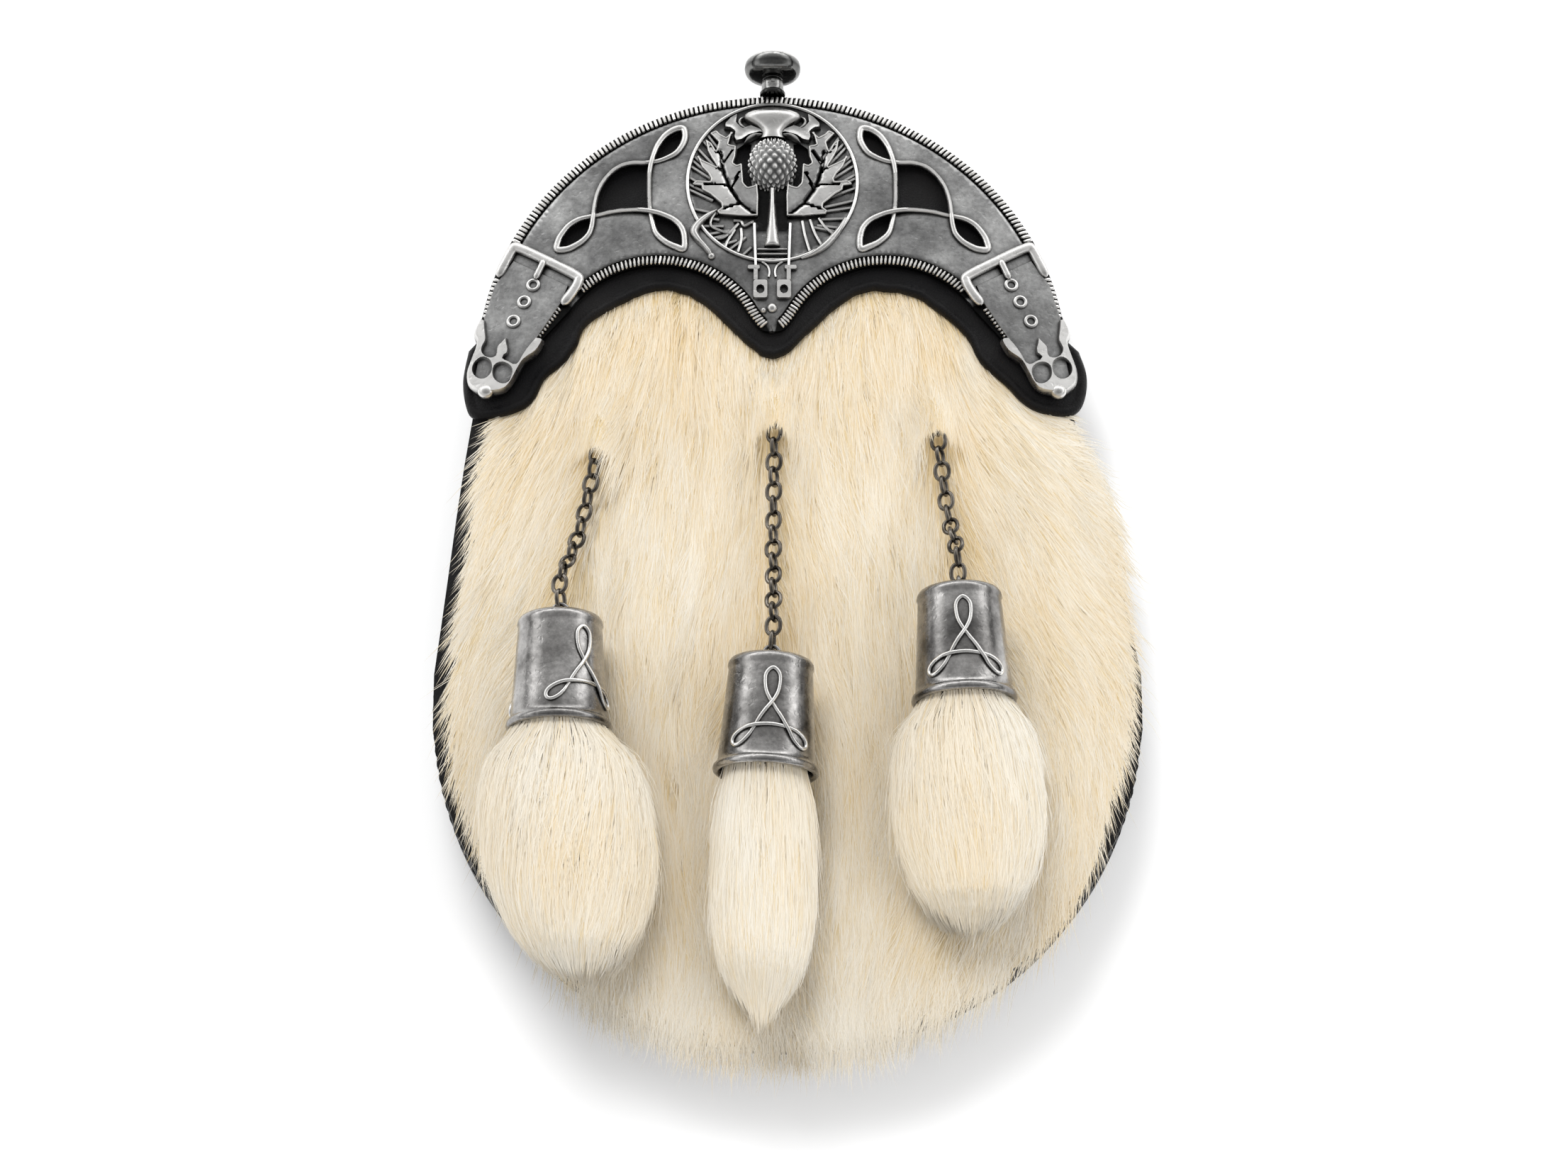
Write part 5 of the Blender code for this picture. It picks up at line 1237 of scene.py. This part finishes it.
CONE_OUTER_POINTS = 14
CONE_PROFILE = [  # radius and distance from the shoulder, down the outside, round the rim and up inside
    (0.3, -0.05), (7.6, 0.0), (9.0, 0.25), (9.8, 0.7), (10.25, 1.4), (10.4, 2.2), (10.15, 2.9), (10.2, 3.6),
    (10.55, 9.0), (10.95, 15.0), (11.35, 21.0), (11.65, 25.2), (11.75, 26.1), (12.1, 26.5), (12.6, 26.95),
    (12.75, 27.6), (12.6, 28.2), (12.1, 28.6), (11.5, 28.55), (11.1, 28.1), (10.95, 27.0), (10.6, 22.0),
    (10.2, 16.0), (9.9, 12.0),
]
CONE_KNOT_HALF = [  # the wire knot, from its top round its left loop to its foot
    (0.0, 5.0), (1.45, 6.3), (1.75, 8.3), (1.4, 10.8), (0.5, 12.8), (-0.8, 14.8), (-2.5, 17.3),
    (-4.2, 20.2), (-5.6, 22.3), (-7.3, 23.7), (-8.8, 24.0), (-9.5, 23.0), (-8.9, 21.6), (-7.0, 20.3),
    (-4.4, 19.5), (0.0, 19.1),
]
CONE_KNOT = np.vstack([CONE_KNOT_HALF, mirrored(CONE_KNOT_HALF[1:-1])])
CONE_KNOT_CROSSINGS = ((5.2, 1), (7.0, -1), (14.0, 1), (16.0, -1), (23.0, 1), (25.1, -1))  # as KNOT_CROSSINGS


def cone_radius(down):
    """Outer radius at a distance from the cone's shoulder."""
    profile = np.array(CONE_PROFILE[:CONE_OUTER_POINTS])
    return np.interp(down, profile[:, 1], profile[:, 0])


def make_cone(name, row):
    """A bell with a rolled rim, a wire knot laid on it and a small loop on top."""
    _, cone_top, axis = tassel_frame(row)
    side, face = axes_for(axis)
    mesh = Mesh()
    lathe(mesh, CONE_PROFILE, cone_top, axis, sides=96, tone=0.45)
    steps = 6
    line = curve(CONE_KNOT, steps, True)
    place = np.arange(len(line)) / steps
    rise = np.full(len(line), 0.3)
    for at, over in CONE_KNOT_CROSSINGS:
        rise += over * 0.3 * bell(gap_round(place, at, len(CONE_KNOT)), 0.7)
    for turn in (row.knot_turn, row.knot_turn + math.pi):
        angle = turn + line[:, 0] / cone_radius(line[:, 1])
        out = face * np.cos(angle)[:, None] - side * np.sin(angle)[:, None]
        path = cone_top + axis * line[:, 1][:, None] + out * (cone_radius(line[:, 1]) + rise)[:, None]
        tube(mesh, path, LOOP_WIRE, LOOP_WIRE, closed=True, up=out, tone=0.88)
    across = face if (len(chain_route(row)) - 1) % 2 else side  # crosswise to the last link
    turn = full_turn(20)
    ring = axis * np.cos(turn)[:, None] + across * np.sin(turn)[:, None]
    path = cone_top - axis * LOOP_OUT + ring * LOOP_RADIUS
    tube(mesh, path, LOOP_WIRE, LOOP_WIRE, closed=True, up=np.cross(axis, across))
    mesh.make(f"bell_{name}", CONE_PEWTER, (f"cone_{name}",), sharp=50)


# ---------------------------------------------------------------- fur


def undercoat_z(x, y):
    """Surface that the hairs grow from; it droops outside the outline."""
    share = np.maximum(edge_share(x, y), 1.0)
    past = (share - 1.0) * FROM_SUMMIT
    near_x, near_y = x / share, DOME_Y + (y - DOME_Y) / share
    drop = 0.45 * past + 0.12 * past ** 2
    return front(near_x, near_y) + HIDE_TOP + 0.6 * fur_pile(near_x, near_y) - np.minimum(drop, 9.0)


def reach(x, y):
    """How far past the outline the roots go; below zero where the leather's margin shows."""
    right = 7.0 * bell(y - 4.0, 24.0) - 0.4 * smooth_step((-32.0 - y) / 16.0)
    side = np.where(x > 0, right, -2.6 + 1.4 * smooth_step((-60.0 - y) / 30.0))
    foot = np.where(x > 0, smooth_step((-64.0 - y) / 36.0), smooth_step((-92.0 - y) / 24.0))
    return -6.6 + side * (1.0 - foot) + 4.8 * foot


def flow_angle(x, y):
    """Direction of the hair, from straight down towards +X. Each term is degrees times a step in x or y."""
    left = -(5.0 * smooth_step(-x / 20.0) + 24.0 * smooth_step((-x - 24.0) / 56.0))
    left -= 8.0 * smooth_step((y + 4.0) / 34.0) * smooth_step((-x - 48.0) / 24.0)
    right = 5.0 * smooth_step(x / 20.0) + 30.0 * smooth_step((x - 22.0) / 60.0)
    right += 26.0 * smooth_step((y + 8.0) / 44.0) * smooth_step((x - 44.0) / 30.0)
    angle = left * (1.0 - 0.95 * smooth_step((-24.0 - y) / 50.0))
    angle += right * (1.0 - 0.95 * smooth_step((-22.0 - y) / 55.0))
    angle -= 20.0 * smooth_step((-62.0 - y) / 44.0) * smooth_step((x - 6.0) / 40.0)
    angle += 8.0 * smooth_step((-92.0 - y) / 30.0) * smooth_step((-x - 8.0) / 34.0)
    angle += 3.6 * np.sin(x * 0.07 + y * 0.045 + 1.0) + 2.6 * np.sin(x * 0.16 - y * 0.06)
    angle += 1.6 * np.sin(y * 0.19 + x * 0.3)
    for row in TASSELS.values():  # parted above each chain and spread beside the chain and the cone
        (top_x, top_y), (cone_x, cone_y), (rim_x, rim_y) = row.top, row.cone, row.rim
        aside = x - top_x - (cone_x - top_x) * np.clip((top_y - y) / (top_y - cone_y), 0, 1)
        beside = smooth_step((top_y + 1.0 - y) / 4.0) * smooth_step((y - cone_y + 4.0) / 12.0)
        angle += np.clip(aside * 4.0, -16.0, 16.0) * bell(aside, 5.0) * beside
        angle -= np.clip(aside * 2.2, -12.0, 12.0) * bell(aside, 6.0) * bell(top_y + 7.0 - y, 7.0)
        by_cone = smooth_step((cone_y + 8.0 - y) / 10.0) * smooth_step((y - rim_y + 12.0) / 14.0)
        aside = x - (cone_x + rim_x) / 2
        angle += np.clip(aside * 1.6, -18.0, 18.0) * bell(aside, 17.0, 4) * by_cone
    return np.radians(angle)


def ribbons(mesh, paths, up, width, tones, normals):
    """Tapered strips along paths of points, each rolled a little about itself and shaded as if round."""
    count, points = paths.shape[:2]
    along = unit(np.gradient(paths, axis=1))
    side = unit(np.cross(along, up))
    top = np.cross(side, along)
    roll = rng.uniform(-0.6, 0.6, count)[:, None, None]
    rolled = side * np.cos(roll) + top * np.sin(roll)
    shape = np.interp(np.arange(points - 1) / (points - 1), (0.0, 0.35, 0.75, 1.0), (0.8, 1.0, 0.75, 0.3))
    half = rolled[:, :-1] * (width[:, None] * shape)[..., None] / 2
    left, right = paths[:, :-1] - half, paths[:, :-1] + half
    verts = np.concatenate([np.stack([left, right], 2).reshape(count, -1, 3), paths[:, -1:]], 1)
    outward = side[:, :-1] * 0.55
    facing = np.stack([normals[:, None] - outward, normals[:, None] + outward], 2).reshape(count, -1, 3)
    facing = np.concatenate([facing, normals[:, None]], 1)
    single = []
    for k in range(points - 2):
        single += [(2 * k, 2 * k + 1, 2 * k + 3), (2 * k, 2 * k + 3, 2 * k + 2)]
    last = 2 * (points - 2)
    single.append((last, last + 1, last + 2))
    starts = np.arange(count) * verts.shape[1]
    tone = np.concatenate([np.repeat(tones[:, :-1], 2, axis=1), tones[:, -1:]], 1)
    mesh.add(verts, [(single + starts[:, None, None]).reshape(-1, 3)], tone.ravel(), unit(facing))


def coat_roots(count):
    """Random roots over the coat, thinned where a tassel hides them."""
    made = np.zeros((0, 2))
    while len(made) < count:
        points = np.column_stack([rng.uniform(-90, 95, count), rng.uniform(-131, 68, count)])
        keep = -inwards(points) < reach(points[:, 0], points[:, 1]) + rng.normal(0, 0.7, count)
        keep &= points[:, 1] < apron_y(points[:, 0]) + 3.5
        keep &= (np.abs(points[:, 0]) < 76) | (points[:, 1] < 31.0)
        points = points[keep]
        for row in TASSELS.values():
            hidden = distance(points, [row.cone, (row.end[0], row.end[1] + 14.0)], False) < 6.5
            points = points[~(hidden & (rng.random(len(points)) < 0.75))]
        made = np.vstack([made, points])
    return made[:count]


def clumps(points, size_x, size_y):
    """For each point: its lock's middle and three random numbers of the lock."""
    rows = 20011
    column = np.floor(points[:, 0] / size_x + 0.35 * np.sin(points[:, 1] * 0.2))
    row = np.floor(points[:, 1] / size_y + 0.5 * (column % 2) + 0.3 * np.sin(points[:, 0] * 0.5))
    key = ((column + 100) * 977 + (row + 100) * 13).astype(np.int64) % rows
    table = np.random.default_rng(3).normal(0, 1, (rows, 3))
    return (column + 0.5) * size_x, table[key]


def coat_paths(roots, length, loose, stray):
    """Four points along each hair, its lock's random numbers and how high it lies in the pile."""
    count = len(roots)
    middle, odd = clumps(roots, 3.2, 13.0)
    own = np.radians(3.5) * odd[:, 0] + np.radians(loose) * rng.normal(0, 1, count)
    own += np.radians(15.0) * np.sign(roots[:, 0]) * smooth_step((20.0 - inwards(roots)) / 12.0) * stray
    bend = np.radians(4.0) * rng.normal(0, 1, count) + np.radians(4.0) * odd[:, 1]
    shares = np.array((0.0, 0.34, 0.68, 1.0))
    x, y = roots[:, 0].copy(), roots[:, 1].copy()
    xs, ys = [x], [y]
    for k in range(1, len(shares)):
        angle = flow_angle(x, y) + own + bend * shares[k]
        step = length * (shares[k] - shares[k - 1])
        x, y = x + step * np.sin(angle), y - step * np.cos(angle)
        xs.append(x)
        ys.append(y)
    x, y = np.stack(xs, 1), np.stack(ys, 1)
    x += (middle - roots[:, 0])[:, None] * 0.3 * shares ** 1.5
    low = undercoat_z(x, y)
    pile = fur_pile(x, y)
    rise = rng.uniform(0.15, 1.0, count) * 0.75 + 0.1 * odd[:, 2]
    rise = np.where(stray, rng.uniform(1.0, 1.6, count), np.clip(rise, 0.1, 1.0))
    z = low - 0.25 + rise[:, None] * (0.36 * pile + LOCK_RISE) * shares ** 0.8
    for row in TASSELS.values():  # the tuft that covers the chain's first link
        first, _, _ = tassel_frame(row)
        aside = np.abs(x - row.top[0])
        high = first[2] + 0.5 + 1.7 * bell(aside, 1.5) + 0.8 * np.minimum(rise, 1.0)[:, None]
        over = bell(aside, 5.0, 3) * smooth_step((row.top[1] + 18.0 - y) / 16.0)
        over = over * (roots[:, 1] > row.top[1] + 1.0)[:, None]
        z += np.maximum(high - z, 0.0) * over
    return np.stack([x, y, z], -1), odd, rise


def surface_normals(x, y):
    """Upward normals of the surface that the hairs grow from."""
    low = undercoat_z(x, y)
    return unit(np.stack([low - undercoat_z(x + 1.0, y), low - undercoat_z(x, y + 1.0), np.ones_like(x)], -1))


def all_roots():
    """Roots of the coat, of the tufts above the chains and of the strays, and which of them are strays."""
    roots = [coat_roots(COAT_HAIRS)]
    for row in TASSELS.values():
        x, y = row.top
        tuft = [x + rng.uniform(-5, 5, CHAIN_HAIRS), y + rng.uniform(1.2, 12.0, CHAIN_HAIRS)]
        roots.append(np.column_stack(tuft))
    loose = coat_roots(STRAY_ROOTS)
    at_edge = edge_share(loose[:, 0], loose[:, 1]) > 0.87
    strays = np.vstack([loose[at_edge][:EDGE_STRAYS], loose[~at_edge][:INNER_STRAYS]])
    roots = np.vstack(roots + [strays])
    return roots, np.arange(len(roots)) >= len(roots) - len(strays)


def hair_lengths(roots, stray):
    """Lengths, short at the edge and cut off where a chain begins, and which hairs lie over a chain's top."""
    x, y = roots.T
    count = len(roots)
    length = rng.normal(17.0, 2.8, count).clip(8.0, 25.0)
    length *= 0.7 + 0.3 * smooth_step((apron_y(x) - y) / 14.0)
    at_foot = smooth_step((-90.0 - y) / 25.0)
    inner = smooth_step(inwards(roots) / 18.0)
    length *= np.where(stray, 0.75, 0.5 + 0.22 * at_foot + (0.5 - 0.22 * at_foot) * inner)
    over_chain = np.zeros(count, bool)
    for row in TASSELS.values():
        aside = np.abs(x - row.top[0])
        above = (aside < 5.5) & (y > row.top[1] + 1.0)
        end = row.top[1] - 0.4 - 1.0 * aside + rng.normal(0, 1.0, count)
        length = np.where(above, np.minimum(length, np.maximum(y - end, 3.0)), length)
        over_chain |= above & (y < row.top[1] + 20.0)
    return length, over_chain


def coat_tones(roots, odd, stray, over_chain):
    """Tones along each hair: painted shade at the root, painted shadows beside the chains and around the
    tassels, and painted light at the foot.
    """
    base = 0.61 + 0.06 * odd[:, 2] + rng.normal(0, 0.14, len(roots)) + 0.22 * stray
    for row in TASSELS.values():
        # painted shadows of the chain and of the tassel on the coat
        base -= 0.3 * bell(distance(roots - (0.0, 6.0), [row.top, row.cone], False), 2.6)
        base -= 0.07 * bell(distance(roots - (0.0, 5.0), [row.cone, row.end], False), row.half + 1.0, 4)
    # painted light: the hairs at the foot are lighter, where less light reaches them
    base += 0.2 * smooth_step((-98.0 - roots[:, 1]) / 20.0)
    # painted shade deep in the pile: darker towards the root, except on the hairs over a chain
    along = np.where(over_chain[:, None], (0.0, 0.0, 0.06, 0.14), (-0.30, -0.08, 0.06, 0.16))
    return np.maximum(base[:, None] + along, 0.2)


def make_coat():
    """The coat's hairs in three pieces. Only the deepest ones cast shadows, for light passes between hairs."""
    roots, stray = all_roots()
    count = len(roots)
    length, over_chain = hair_lengths(roots, stray)
    edge = inwards(roots)
    loose = 3.5 + 5.0 * smooth_step((-100.0 - roots[:, 1]) / 14.0) + 3.0 * smooth_step((16.0 - edge) / 8.0)
    paths, odd, rise = coat_paths(roots, length, np.where(stray, 10.0, loose), stray)
    width = rng.uniform(0.17, 0.33, count) * (1.0 - 0.3 * smooth_step((12.0 - edge) / 8.0))
    width = np.where(stray, 0.15, width)
    tones = coat_tones(roots, odd, stray, over_chain)
    upwards = 0.6 + 1.6 * smooth_step((-92.0 - roots[:, 1]) / 30.0)
    normals = unit(surface_normals(roots[:, 0], roots[:, 1]) + upwards[:, None] * UP)
    normals = unit(normals + (rng.normal(0, 0.09, (count, 3)) + odd * (0.10, 0.09, 0.0)))
    order = np.argsort(roots[:, 0])
    deep = ((rise < np.quantile(rise, DEEP_SHARE)) & ~over_chain)[order]
    parts = [order[deep]] + np.array_split(order[~deep], 2)
    for name, part in zip(("deep", "left", "right"), parts):
        mesh = Mesh()
        ribbons(mesh, paths[part], UP, width[part], tones[part], normals[part])
        mesh.make(f"coat_hair_{name}", COAT_HAIR, shadow=name == "deep")


def make_hide():
    """The skin under the hair, from the apron down to where the roots end."""
    edge = outline(0.0, 300)
    x, y = edge.T
    grow = reach(x, y) + 1.2 + 0.9 * smooth_step((-90.0 - y) / 30.0)
    from_summit = edge - (0.0, DOME_Y)
    edge = edge + from_summit / np.hypot(*from_summit.T)[:, None] * grow[:, None]
    edge = edge[edge[:, 1] < 30.0]
    edge = edge[np.argsort(np.arctan2(edge[:, 1] - 31.0, edge[:, 0]))]
    top = resample(APRON_LOW + (0.0, 3.0), pitch=2.0)

    def upper(places, depth):
        return undercoat_z(places[:, 0], places[:, 1]) - rounded(depth, 1.0) - 0.3

    def lower(places):
        x, y = places.T
        return undercoat_z(x, y) - 0.6 * fur_pile(x, y) - 1.4

    mesh = Mesh()
    sheet(mesh, [np.vstack([edge, top[::-1]])], upper, lower, (), pitch=3.0, margin=1.0, tone=0.36)
    mesh.make("coat_hide", UNDERCOAT, ("fur_coat",))


HAIR_SHAPE = np.array([  # share of the way to the end, share of the spread, taper
    (-0.2, 0.0, 1.0), (0.01, 0.0, 1.0), (0.05, 0.45, 1.0), (0.13, 0.8, 1.0), (0.28, 1.0, 0.99),
    (0.52, 1.0, 1.0), (0.68, 1.0, 0.94), (0.82, 1.0, 0.78), (0.93, 1.0, 0.52), (1.0, 1.0, 0.24),
    (1.04, 1.0, 0.1), (1.1, 1.0, 0.02),
])


def tassel_body(row):
    """A function from the share of the way to the middle, the half width and the half depth."""
    _, cone_top, axis = tassel_frame(row)
    rim = cone_top + axis * CONE_LENGTH
    shares = np.linspace(-0.2, 1.1, 131)
    smoother = np.ones(9) / 9
    spread, taper = [
        np.convolve(np.pad(np.interp(shares, HAIR_SHAPE[:, 0], column), 4, "edge"), smoother, "valid")
        for column in (HAIR_SHAPE[:, 1], HAIR_SHAPE[:, 2])
    ]
    half = (HAIR_NECK + (row.half - HAIR_NECK) * spread) * taper
    deep = np.minimum(half, HAIR_NECK + (half - HAIR_NECK) * HAIR_FLATNESS)
    x = rim[0] + (row.end[0] - rim[0]) * shares
    y = rim[1] + (row.end[1] - rim[1]) * shares
    rest = np.array([fur_ceiling(*place)[0] for place in zip(x, y)]) + HAIR_FLOAT + deep * 0.94
    z = np.maximum(rest, rim[2] - HAIR_SAG * shares)
    z = np.where(shares < 0, (rim[2] - axis[2] * CONE_LENGTH * 0.4 * -shares / 0.2), z)

    def body(share):
        return tuple(np.interp(share, shares, values) for values in (x, y, z, half, deep))

    return body


def make_core(mesh, place, side):
    """The smooth body that fills a tassel under its hairs."""
    rows, sides = 60, 40
    shares = np.linspace(-0.12, 0.95, rows)[:, None]
    angles = np.broadcast_to(full_turn(sides), (rows, sides))
    swell = np.broadcast_to(0.88 * (1.0 - 0.8 * smooth_step((shares - 0.68) / 0.27)), (rows, sides))
    grid = place(np.broadcast_to(shares, (rows, sides)), angles, swell)
    out = side * np.cos(angles)[..., None] + UP * np.sin(angles)[..., None]
    mesh.add(grid, capped(rows, sides), 0.68, unit(out + 0.35 * UP))


def hair_spans(row, turn, span):
    """Where each hair starts and how long it is, in shares of the tassel, and which hairs are inner ones."""
    count = len(turn)
    lengths = rng.normal(23.0, 4.0, count).clip(10, 33) / span
    lowest = row.blunt + (1.03 - row.blunt) * np.abs(np.sin(turn)) ** 0.8 + 0.02 * rng.normal(0, 1, count)
    lowest -= 0.16 * rng.random(count) ** 2
    start = -0.1 + rng.random(count) ** 0.9 * (lowest - 0.02)
    inner = rng.random(count) < 0.16
    start[inner] = rng.uniform(0.55, 0.86, inner.sum())
    lowest[inner] = row.blunt + rng.uniform(0.02, 0.12, inner.sum())
    return start, np.minimum(lengths, lowest - start), inner


def tassel_locks(turn, start):
    """Three random numbers of the lock that each hair belongs to."""
    rows = 4001
    column = np.floor(turn * 5.0)
    lock = np.floor(turn * 5.0 + np.sin(start * 30.0)) + 40 * np.floor(start * 5.0 + 0.5 * (column % 2))
    table = np.random.default_rng(5).normal(0, 1, (rows, 3))
    return table[(lock.astype(np.int64) * 31) % rows]


def make_tassel(name, row):
    """Hairs in locks round a core, most of them on the upper side. Only the deepest ones cast shadows."""
    count = TASSEL_HAIRS
    body = tassel_body(row)
    side, _ = axes_for(tassel_frame(row)[2])
    side = side * (1.0, 1.0, 0.0)
    span = math.dist(row.rim, row.end)

    def place(share, angle, swell):
        x, y, z, half, deep = body(share)
        out = side * (np.cos(angle) * half)[..., None] + UP * (np.sin(angle) * deep)[..., None]
        return np.stack([x, y, z], -1) + out * swell[..., None]

    mesh = Mesh()
    make_core(mesh, place, side)
    turn = rng.uniform(-0.6, math.pi + 0.6, count)
    under = rng.random(count) < 0.16
    turn[under] = rng.uniform(math.pi + 0.5, 2 * math.pi - 0.5, under.sum())
    start, lengths, inner = hair_spans(row, turn, span)
    along = np.array((0.0, 0.25, 0.5, 0.75, 1.0))
    share = start[:, None] + lengths[:, None] * along
    odd = tassel_locks(turn, start)
    stray = rng.random(count) < 0.05
    lean_by = np.radians(row.lean + np.where(stray, 14.0, 4.0) * rng.normal(0, 1, count) + 4.0 * odd[:, 0])
    angle = turn[:, None] + np.sin(lean_by)[:, None] * lengths[:, None] * span / 16.0 * along
    own = rng.uniform(0.15, 1.0, count) + 0.07 * odd[:, 1] + 1.3 * rng.random(count) * stray
    rise = row.fluff - 0.14 + 0.14 * own[:, None] * along ** 0.8
    fuller = np.interp(share, (0.8, 0.93, 1.0, 1.05), (1.0, *row.swell, 2.6))
    rise = np.where(inner, rng.uniform(0.25, 0.95, count), 1.0)[:, None] * rise * fuller
    paths = place(share, angle, rise)
    base = 0.72 + 0.06 * odd[:, 2] + rng.normal(0, 0.15, count) + 0.16 * stray
    # painted light on the hairs that start just under the cone, where its rim shades them
    base += 0.2 * smooth_step((0.1 - start) / 0.1)
    # painted shade: darker towards the root
    tones = np.maximum(base[:, None] + (-0.24, -0.08, 0.03, 0.08, 0.14), 0.32)
    x, y, z, _, _ = body(share.mean(1))
    up = unit(paths.mean(1) - np.stack([x, y, z], -1))
    facing = unit(np.maximum(up, (-1.0, -1.0, 0.0)) + 1.15 * UP)
    normals = unit(facing + rng.normal(0, 0.07, (count, 3)) + 0.05 * odd)
    up = np.broadcast_to(facing[:, None], paths.shape)
    width = np.where(stray, 0.16, rng.uniform(0.18, 0.34, count))
    deep = own < np.quantile(own, DEEP_SHARE)
    for part, title, replaced in ((deep, "underwool", ()), (~deep, "hair", (f"tassel_{name}",))):
        ribbons(mesh, paths[part], up[part], width[part], tones[part], normals[part])
        mesh.make(f"{title}_{name}", COAT_HAIR, replaced, shadow=title == "underwool")
        mesh = Mesh()


# ---------------------------------------------------------------- room


def aim(item, place, target):
    """Sets a camera or a light at a place, turned towards its target."""
    item.location = place
    item.rotation_euler = (Vector(target) - Vector(place)).to_track_quat("-Z", "Y").to_euler()
    bpy.context.scene.collection.objects.link(item)


def add_light(name, place, target, size, power):
    """A soft round light that metal doesn't mirror."""
    light = bpy.data.lights.new(name, "AREA")
    light.shape = "DISK"
    light.size = size
    light.energy = power
    item = bpy.data.objects.new(name, light)
    item.visible_glossy = False
    aim(item, place, target)


def make_room():
    """Floor, a studio sky that is bright above the horizon and behind the pouch, and three soft lights."""
    mesh = bpy.data.meshes.new("floor")
    mesh.from_pydata([(-3, -3, 0), (3, -3, 0), (3, 3, 0), (-3, 3, 0)], [], [(0, 1, 2, 3)])
    floor = bpy.data.objects.new("floor", mesh)
    bpy.context.scene.collection.objects.link(floor)
    material, _, shader = shader_tree("pale_floor", 0.9)
    shader.inputs["Base Color"].default_value = (0.97, 0.97, 0.97, 1.0)
    mesh.materials.append(material)
    world = bpy.data.worlds.new("studio")
    world.use_nodes = True
    tree = world.node_tree
    height = node(tree, "ShaderNodeSeparateXYZ")
    tree.links.new(node(tree, "ShaderNodeTexCoord").outputs["Generated"], height.inputs["Vector"])
    sky = ramp(tree, height.outputs["Z"], (
        (0.0, 0.25), (0.15, 0.5), (0.27, 2.2), (0.45, 2.2),
        (0.6, 0.85), (0.76, 0.62), (0.88, 0.62), (1.0, 0.5),
    ))
    ranges = {"From Min": -0.5, "From Max": 0.7, "To Min": 0.35, "To Max": 1.1}
    around = node(tree, "ShaderNodeMapRange", **ranges)
    tree.links.new(height.outputs["Y"], around.inputs["Value"])
    sky = mix(tree, 1.0, sky, around.outputs["Result"], "MULTIPLY")
    tree.links.new(sky, tree.nodes["Background"].inputs["Color"])
    tree.nodes["Background"].inputs["Strength"].default_value = 1.14
    scene = bpy.context.scene
    scene.world = world
    add_light("key", (-0.25, 0.6, 1.2), (0, 0, 0.02), size=0.6, power=8.9)
    add_light("fill", (0.8, -0.4, 0.9), (0, 0, 0.02), size=0.8, power=4.2)
    add_light("foot", (-0.15, -0.9, 0.8), (0, -0.1, 0.02), size=0.6, power=3.1)
    scene.view_settings.view_transform = "Standard"
    scene.view_settings.exposure = 0.0


def make_camera():
    """The photograph's view, from the foot's side."""
    target = np.array((3.0 - MIDDLE_X, -17.0, 35.0)) * MM
    elevation, away = math.radians(72), 0.86
    data = bpy.data.cameras.new("camera")
    data.lens = 80.0
    data.sensor_width = 36.0
    data.clip_start = 0.01
    camera = bpy.data.objects.new("camera", data)
    aim(camera, target + away * np.array((0.0, -math.cos(elevation), math.sin(elevation))), target)
    bpy.context.scene.camera = camera


def dress_solids():
    """Better materials for the solids that stay in sight."""
    staples = {f"chain_staple_{name}": GUNMETAL for name in TASSELS}
    for name, material in {"front_wall": LEATHER_SKIN, **staples}.items():
        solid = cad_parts[name]
        solid.data.materials.clear()
        solid.data.materials.append(material)


make_camera()
make_room()
dress_solids()
make_gusset()
make_back()
make_belt_loop("left", -62.0)
make_belt_loop("right", 62.0)
make_apron()
make_cantle()
make_knob()
for tassel_name, tassel_row in TASSELS.items():
    make_chain(tassel_name, tassel_row)
    make_cone(tassel_name, tassel_row)
    make_tassel(tassel_name, tassel_row)
make_coat()
make_hide()
